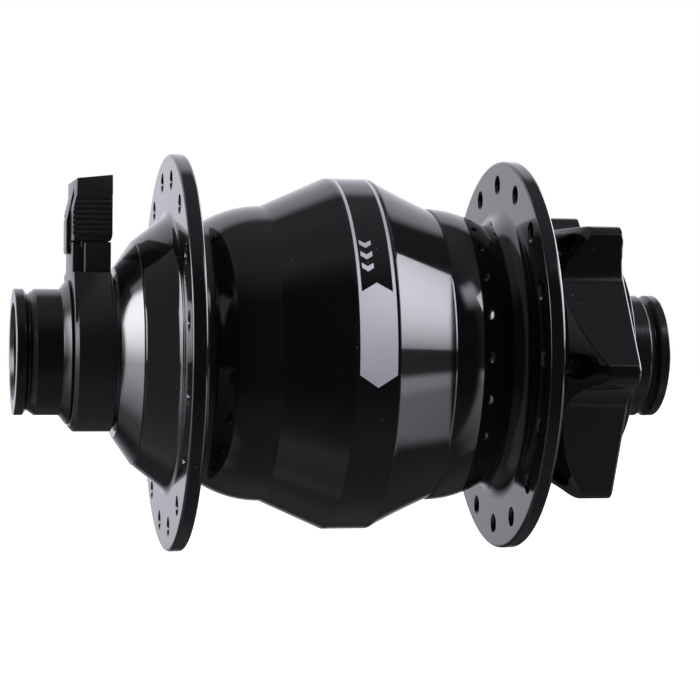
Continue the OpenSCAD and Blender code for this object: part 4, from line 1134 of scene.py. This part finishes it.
def wire_hole(p, x, y, z0, z1):
    """Upright round tool for a wire hole"""
    steps = HOLE_STEPS
    outline = [(p.wire_r * math.cos(math.tau * i / steps), p.wire_r * math.sin(math.tau * i / steps))
               for i in range(steps)]
    verts = [(x + u, y + v, z) for z in (z0, z1) for u, v in outline]
    faces = [tuple(range(steps)), tuple(range(steps, 2 * steps))]
    faces += [(i, (i + 1) % steps, steps + (i + 1) % steps, steps + i) for i in range(steps)]
    return new_piece("wire_hole", verts, faces)


class HUB_OT_marking(bpy.types.Operator):
    """Lays the plain silver panel, its chevrons and its two stripes on the band"""

    bl_idname = "hub.marking"
    bl_label = "Marking"

    def execute(self, context):
        m, s = context.scene.hub_label, context.scene.hub_shell
        material = marking_foil(context.scene.hub_finishes)
        mid = (m.high_y + m.low_y) / 2
        inner_low, inner_high = m.low_y + m.stripe_w, m.high_y - m.stripe_w
        shoulder = m.panel_to - m.upper_point
        panel = [
            (m.panel_from, mid, mid), (m.panel_from + m.lower_point, m.low_y, m.high_y),
            (shoulder, m.low_y, m.high_y), (shoulder, inner_low, inner_high), (m.panel_to, mid, mid)]
        chevrons = []
        for i in range(m.chevrons):
            tip = m.chevron_from + i * m.chevron_pitch
            chevrons += [chevron(m, tip, -1), chevron(m, tip, 1)]
        left = [(shoulder, m.low_y, inner_low), (m.stripe_to, m.low_y, inner_low)]
        right = [(shoulder, inner_high, m.high_y), (m.stripe_to, inner_high, m.high_y)]
        for name, strips in (
                ("band_panel", [panel]), ("band_chevrons", chevrons), ("band_stripe_left", [left]),
                ("band_stripe_right", [right])):
            dressed(foil(name, s.band_r, m.foil_t, strips), material, "shell", "gloss_black_shell")
        return {"FINISHED"}


def chevron(m, tip, side):
    """Stations of one arm of a chevron that points down the band"""
    rise, thick, half = 0.3 * m.chevron_pitch, 0.42 * m.chevron_pitch, m.chevron_w / 2
    stations = []
    for a, inner, outer in (
            (0, 0, 0), (min(rise, thick), 0, min(1, thick / rise)),
            (max(rise, thick), max(0, 1 - thick / rise), 1), (rise + thick, 1, 1)):
        edges = sorted((m.chevron_mid + side * half * inner, m.chevron_mid + side * half * outer))
        stations.append((tip + a, *edges))
    return stations


def filled(stations, step):
    """Stations along the band with further ones between those that lie far apart"""
    points = []
    for here, ahead in zip(stations, stations[1:]):
        parts = max(1, math.ceil((ahead[0] - here[0]) / step))
        points += [tuple(p + (q - p) * i / parts for p, q in zip(here, ahead)) for i in range(parts)]
    return points + [stations[-1]]


def foil(name, band_r, foil_t, strips):
    """Thin closed strips on the band, each from (angle, left edge, right edge) stations"""
    verts, faces = [], []
    for strip in strips:
        first, stations = len(verts), filled(strip, FOIL_STEP)
        for a, low, high in stations:
            for radius, y in (
                    (band_r + foil_t, low), (band_r + foil_t, high),
                    (band_r - foil_t, high), (band_r - foil_t, low)):
                verts.append((radius * math.cos(a), y, radius * math.sin(a)))
        last = len(verts) - 4
        for start in range(first, last, 4):
            for j in range(4):
                up = (j + 1) % 4
                faces.append((start + j, start + up, start + 4 + up, start + 4 + j))
        faces += [tuple(range(first, first + 4)), tuple(range(last, last + 4))]
    return new_piece(name, verts, faces)


class HUB_OT_inner_works(bpy.types.Operator):
    """Gives the pieces inside the hub their finishes"""

    bl_idname = "hub.inner_works"
    bl_label = "Inner works"

    def execute(self, context):
        iron = plain_finish("soft_iron", (0.2, 0.2, 0.21), 1, 0.42, 2200, 0.004 * MM).material
        steel = plain_finish(
            "plain_steel", (0.42, 0.42, 0.43), 1, 0.3, 2600, 0.003 * MM, TURNING_MARKS).material
        race = plain_finish(
            "bearing_steel", (0.6, 0.6, 0.61), 1, 0.14, 3000, 0.001 * MM, TURNING_MARKS).material
        shield = plain_finish("bearing_shield", (0.1, 0.1, 0.11), 0.8, 0.35, 2500, 0.003 * MM).material
        brass = plain_finish("contact_brass", (0.72, 0.5, 0.2), 1, 0.26, 2400, 0.003 * MM).material
        wire = plain_finish("wire_insulation", (0.36, 0.03, 0.025), 0, 0.45, 3000, 0.004 * MM).material
        bobbin = plain_finish("bobbin_plastic", (0.62, 0.57, 0.44), 0, 0.5, 4000, 0.005 * MM).material
        cage = plain_finish("cage_plastic", (0.36, 0.27, 0.16), 0, 0.5, 4000, 0.005 * MM).material
        magnet = plain_finish("magnet_plating", (0.3, 0.3, 0.31), 1, 0.36, 3200, 0.006 * MM).material
        finishes = {
            iron: ("stator_core", "left_claw_plate", "right_claw_plate", "magnet_yoke"),
            steel: ("left_bearing_spacer", "stator_nut"),
            race: ("left_bearing_inner_ring", "left_bearing_outer_ring", "left_bearing_balls",
                   "right_bearing_inner_ring", "right_bearing_outer_ring", "right_bearing_balls"),
            shield: ("left_bearing_shields", "right_bearing_shields"),
            brass: ("contact_blades", "plug_sleeves"),
            wire: ("lead_wires",),
            bobbin: ("coil_bobbin",),
            wound_copper(): ("copper_coil",),
            cage: ("left_bearing_cage", "right_bearing_cage"),
            magnet: ("magnets",),
            rubber(): ("end_cap_grip_rings", "shell_seal_ring", "left_dust_seal"),
        }
        for material, nodes in finishes.items():
            for node in nodes:
                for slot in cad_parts[node].material_slots:
                    slot.material = material
        return {"FINISHED"}


# Stage

class HUB_OT_stage(bpy.types.Operator):
    """Sets up the floor, the backdrop, the lamps and the camera"""

    bl_idname = "hub.stage"
    bl_label = "Stage"

    def execute(self, context):
        s = context.scene.hub_studio
        context.scene.view_settings.view_transform = "Standard"
        studio_world(context.scene, s)
        studio_floor(s)
        for lamp in SOFTBOXES:
            softbox(*lamp)
        studio_camera(context.scene, s)
        return {"FINISHED"}


def softbox(name, azimuth, elevation, distance, width, height, radiance, peak, least, colour):
    """Area lamp that faces the hub, brightest at a share of its height and dimmer towards the farther end"""
    lamp = bpy.data.lights.new(name, "AREA")
    lamp.shape = "RECTANGLE"
    lamp.size, lamp.size_y = width, height
    lamp.energy = radiance * math.pi * width * height
    lamp.color = colour
    lamp.use_nodes = True
    nodes, link = lamp.node_tree.nodes, lamp.node_tree.links.new
    across = nodes.new("ShaderNodeSeparateXYZ")
    link(nodes.new("ShaderNodeNewGeometry").outputs["Parametric"], across.inputs["Vector"])
    tree = lamp.node_tree
    off = maths(tree, "DIVIDE", maths(tree, "SUBTRACT", across.outputs["Y"], peak), max(peak, 1 - peak))
    loss = maths(tree, "MULTIPLY", maths(tree, "MULTIPLY", off, off), 1 - least)
    link(maths(tree, "SUBTRACT", 1, loss), nodes["Emission"].inputs["Strength"])
    holder = bpy.data.objects.new(name, lamp)
    a, e = math.radians(azimuth), math.radians(elevation)
    holder.location = distance * Vector((math.cos(e) * math.cos(a), math.cos(e) * math.sin(a), math.sin(e)))
    holder.rotation_euler = (-holder.location).to_track_quat("-Z", "Y").to_euler()
    bpy.context.scene.collection.objects.link(holder)


def maths(tree, operation, *values):
    """Output of a new Math node in a tree"""
    node = tree.nodes.new("ShaderNodeMath")
    node.operation = operation
    for socket, value in zip(node.inputs, values):
        if isinstance(value, (int, float)):
            socket.default_value = value
        else:
            tree.links.new(value, socket)
    return node.outputs["Value"]


def ramp(tree, value, start, stop):
    """0 at the start, 1 at the stop, smooth between them"""
    node = tree.nodes.new("ShaderNodeMapRange")
    node.interpolation_type = "SMOOTHSTEP"
    node.inputs["From Min"].default_value = start
    node.inputs["From Max"].default_value = stop
    tree.links.new(value, node.inputs["Value"])
    return node.outputs["Result"]


def studio_floor(s):
    """Wide pale floor that shows white to the camera and stays out of the reflections"""
    size = 6
    floor = new_piece("floor", [
        (x, y, s.floor_z) for x, y in ((-size, -size), (size, -size), (size, size), (-size, size))],
        [(0, 1, 2, 3)])
    floor.visible_glossy = False
    made = Finish("pale_floor")
    made.shader.inputs["Base Color"].default_value = (0.5, 0.5, 0.5, 1)
    made.shader.inputs["Roughness"].default_value = 0.8
    made.shader.inputs["Emission Color"].default_value = (1, 1, 1, 1)
    seen = made.nodes.new("ShaderNodeLightPath")
    made.link(seen.outputs["Is Camera Ray"], made.shader.inputs["Emission Strength"])
    floor.data.materials.append(made.material)


def studio_world(scene, s):
    """White to the camera; in reflections a pale backdrop, soft patches of light and a dark room"""
    world = bpy.data.worlds.new("studio")
    scene.world = world
    world.use_nodes = True
    tree = world.node_tree
    nodes, link = tree.nodes, tree.links.new
    path = nodes.new("ShaderNodeLightPath").outputs
    axes = nodes.new("ShaderNodeSeparateXYZ")
    link(nodes.new("ShaderNodeTexCoord").outputs["Generated"], axes.inputs["Vector"])
    rise = axes.outputs["Z"]
    depth = maths(tree, "MAXIMUM", maths(tree, "MULTIPLY", axes.outputs["X"], -1), 0.001)
    side = maths(tree, "DIVIDE", maths(tree, "ABSOLUTE", axes.outputs["Y"]), depth)
    height = maths(tree, "DIVIDE", rise, depth)
    card = maths(tree, "MULTIPLY", ramp(tree, side, *BACKDROP_SIDE), ramp(tree, height, *BACKDROP_TOP))
    card = maths(tree, "MULTIPLY", card, ramp(tree, height, *BACKDROP_FOOT))
    room = maths(tree, "ADD", maths(tree, "MULTIPLY", card, s.backdrop), s.room)
    room = maths(tree, "ADD", room, maths(tree, "MULTIPLY", ramp(tree, rise, *CEILING_RISE), s.ceiling))
    room = maths(tree, "ADD", room, maths(tree, "MULTIPLY", ramp(tree, rise, *TABLE_RISE), s.table))
    azimuth = maths(tree, "ARCTAN2", axes.outputs["Y"], axes.outputs["X"])
    elevation = maths(tree, "ARCSINE", rise)
    for patch in REFLECTED:
        middle, half, edge, bottom, fade, top, sharp = (math.radians(a) for a in patch[:-1])
        off = maths(tree, "ABSOLUTE", maths(tree, "SUBTRACT", azimuth, middle))
        glow = maths(tree, "MULTIPLY", ramp(tree, off, half + edge, half - edge), patch[-1])
        glow = maths(tree, "MULTIPLY", glow, ramp(tree, elevation, bottom, bottom + fade))
        glow = maths(tree, "MULTIPLY", glow, ramp(tree, elevation, top + sharp, top - sharp))
        room = maths(tree, "ADD", room, glow)
    glossy = path["Is Glossy Ray"]
    matt = maths(tree, "MULTIPLY", maths(tree, "SUBTRACT", 1, glossy), s.fill)
    light = maths(tree, "ADD", maths(tree, "MULTIPLY", glossy, room), matt)
    shown = maths(tree, "MAXIMUM", path["Is Camera Ray"], path["Is Transmission Ray"])
    colour = nodes.new("ShaderNodeMix")
    colour.data_type = "RGBA"
    colour.inputs[6].default_value = (*s.room_tint, 1)
    colour.inputs[7].default_value = (1, 1, 1, 1)
    link(shown, colour.inputs[0])
    link(colour.outputs[2], nodes["Background"].inputs["Color"])
    strength = maths(tree, "ADD", maths(tree, "MULTIPLY", maths(tree, "SUBTRACT", 1, shown), light), shown)
    link(strength, nodes["Background"].inputs["Strength"])


def studio_camera(scene, s):
    """Camera at the photograph's place and angle"""
    camera = bpy.data.cameras.new("camera")
    camera.lens, camera.sensor_width = s.lens, SENSOR_MM
    holder = bpy.data.objects.new("camera", camera)
    scene.collection.objects.link(holder)
    ahead = Vector((
        -math.cos(s.pitch) * math.cos(s.pan), math.cos(s.pitch) * math.sin(s.pan), math.sin(s.pitch)))
    level_right = ahead.cross(Vector((0, 0, 1))).normalized()
    right = math.cos(s.roll) * level_right + math.sin(s.roll) * level_right.cross(ahead)
    up = right.cross(ahead)
    turn = Matrix((right, up, -ahead)).transposed().to_4x4()
    holder.matrix_world = Matrix.Translation(s.camera_at) @ turn
    scene.camera = holder


# Panel and registration

PIECES = (
    HUB_OT_left_shell, HUB_OT_right_shell, HUB_OT_left_cover, HUB_OT_end_caps, HUB_OT_axle, HUB_OT_seal,
    HUB_OT_plug_base, HUB_OT_plug, HUB_OT_marking, HUB_OT_inner_works, HUB_OT_stage)
SETTINGS = {
    "hub_shell": ShellSizes, "hub_rotor": RotorSizes, "hub_ends": EndSizes, "hub_plug": PlugSizes,
    "hub_label": LabelSizes, "hub_finishes": Finishes, "hub_studio": StudioSettings}


class HUB_PT_pieces(bpy.types.Panel):
    """Lists the operators that build the hub"""

    bl_label = "Hub dynamo"
    bl_idname = "HUB_PT_pieces"
    bl_space_type = "VIEW_3D"
    bl_region_type = "UI"
    bl_category = "Hub"

    def draw(self, context):
        for operator in PIECES:
            self.layout.operator(operator.bl_idname)


def register():
    """Adds the settings, the operators and the panel to Blender"""
    for cls in (*SETTINGS.values(), *PIECES, HUB_PT_pieces):
        bpy.utils.register_class(cls)
    for name, group in SETTINGS.items():
        setattr(bpy.types.Scene, name, bpy.props.PointerProperty(type=group))


def unregister():
    """Takes them out again"""
    for name in SETTINGS:
        delattr(bpy.types.Scene, name)
    for cls in (HUB_PT_pieces, *reversed(PIECES), *reversed(SETTINGS.values())):
        bpy.utils.unregister_class(cls)


def main():
    """Builds every piece and the stage"""
    register()
    bpy.ops.hub.left_shell()
    bpy.ops.hub.right_shell()
    bpy.ops.hub.left_cover()
    bpy.ops.hub.end_caps()
    bpy.ops.hub.axle()
    bpy.ops.hub.seal()
    bpy.ops.hub.plug_base()
    bpy.ops.hub.plug()
    bpy.ops.hub.marking()
    bpy.ops.hub.inner_works()
    bpy.ops.hub.stage()


if __name__ == "__main__":
    main()
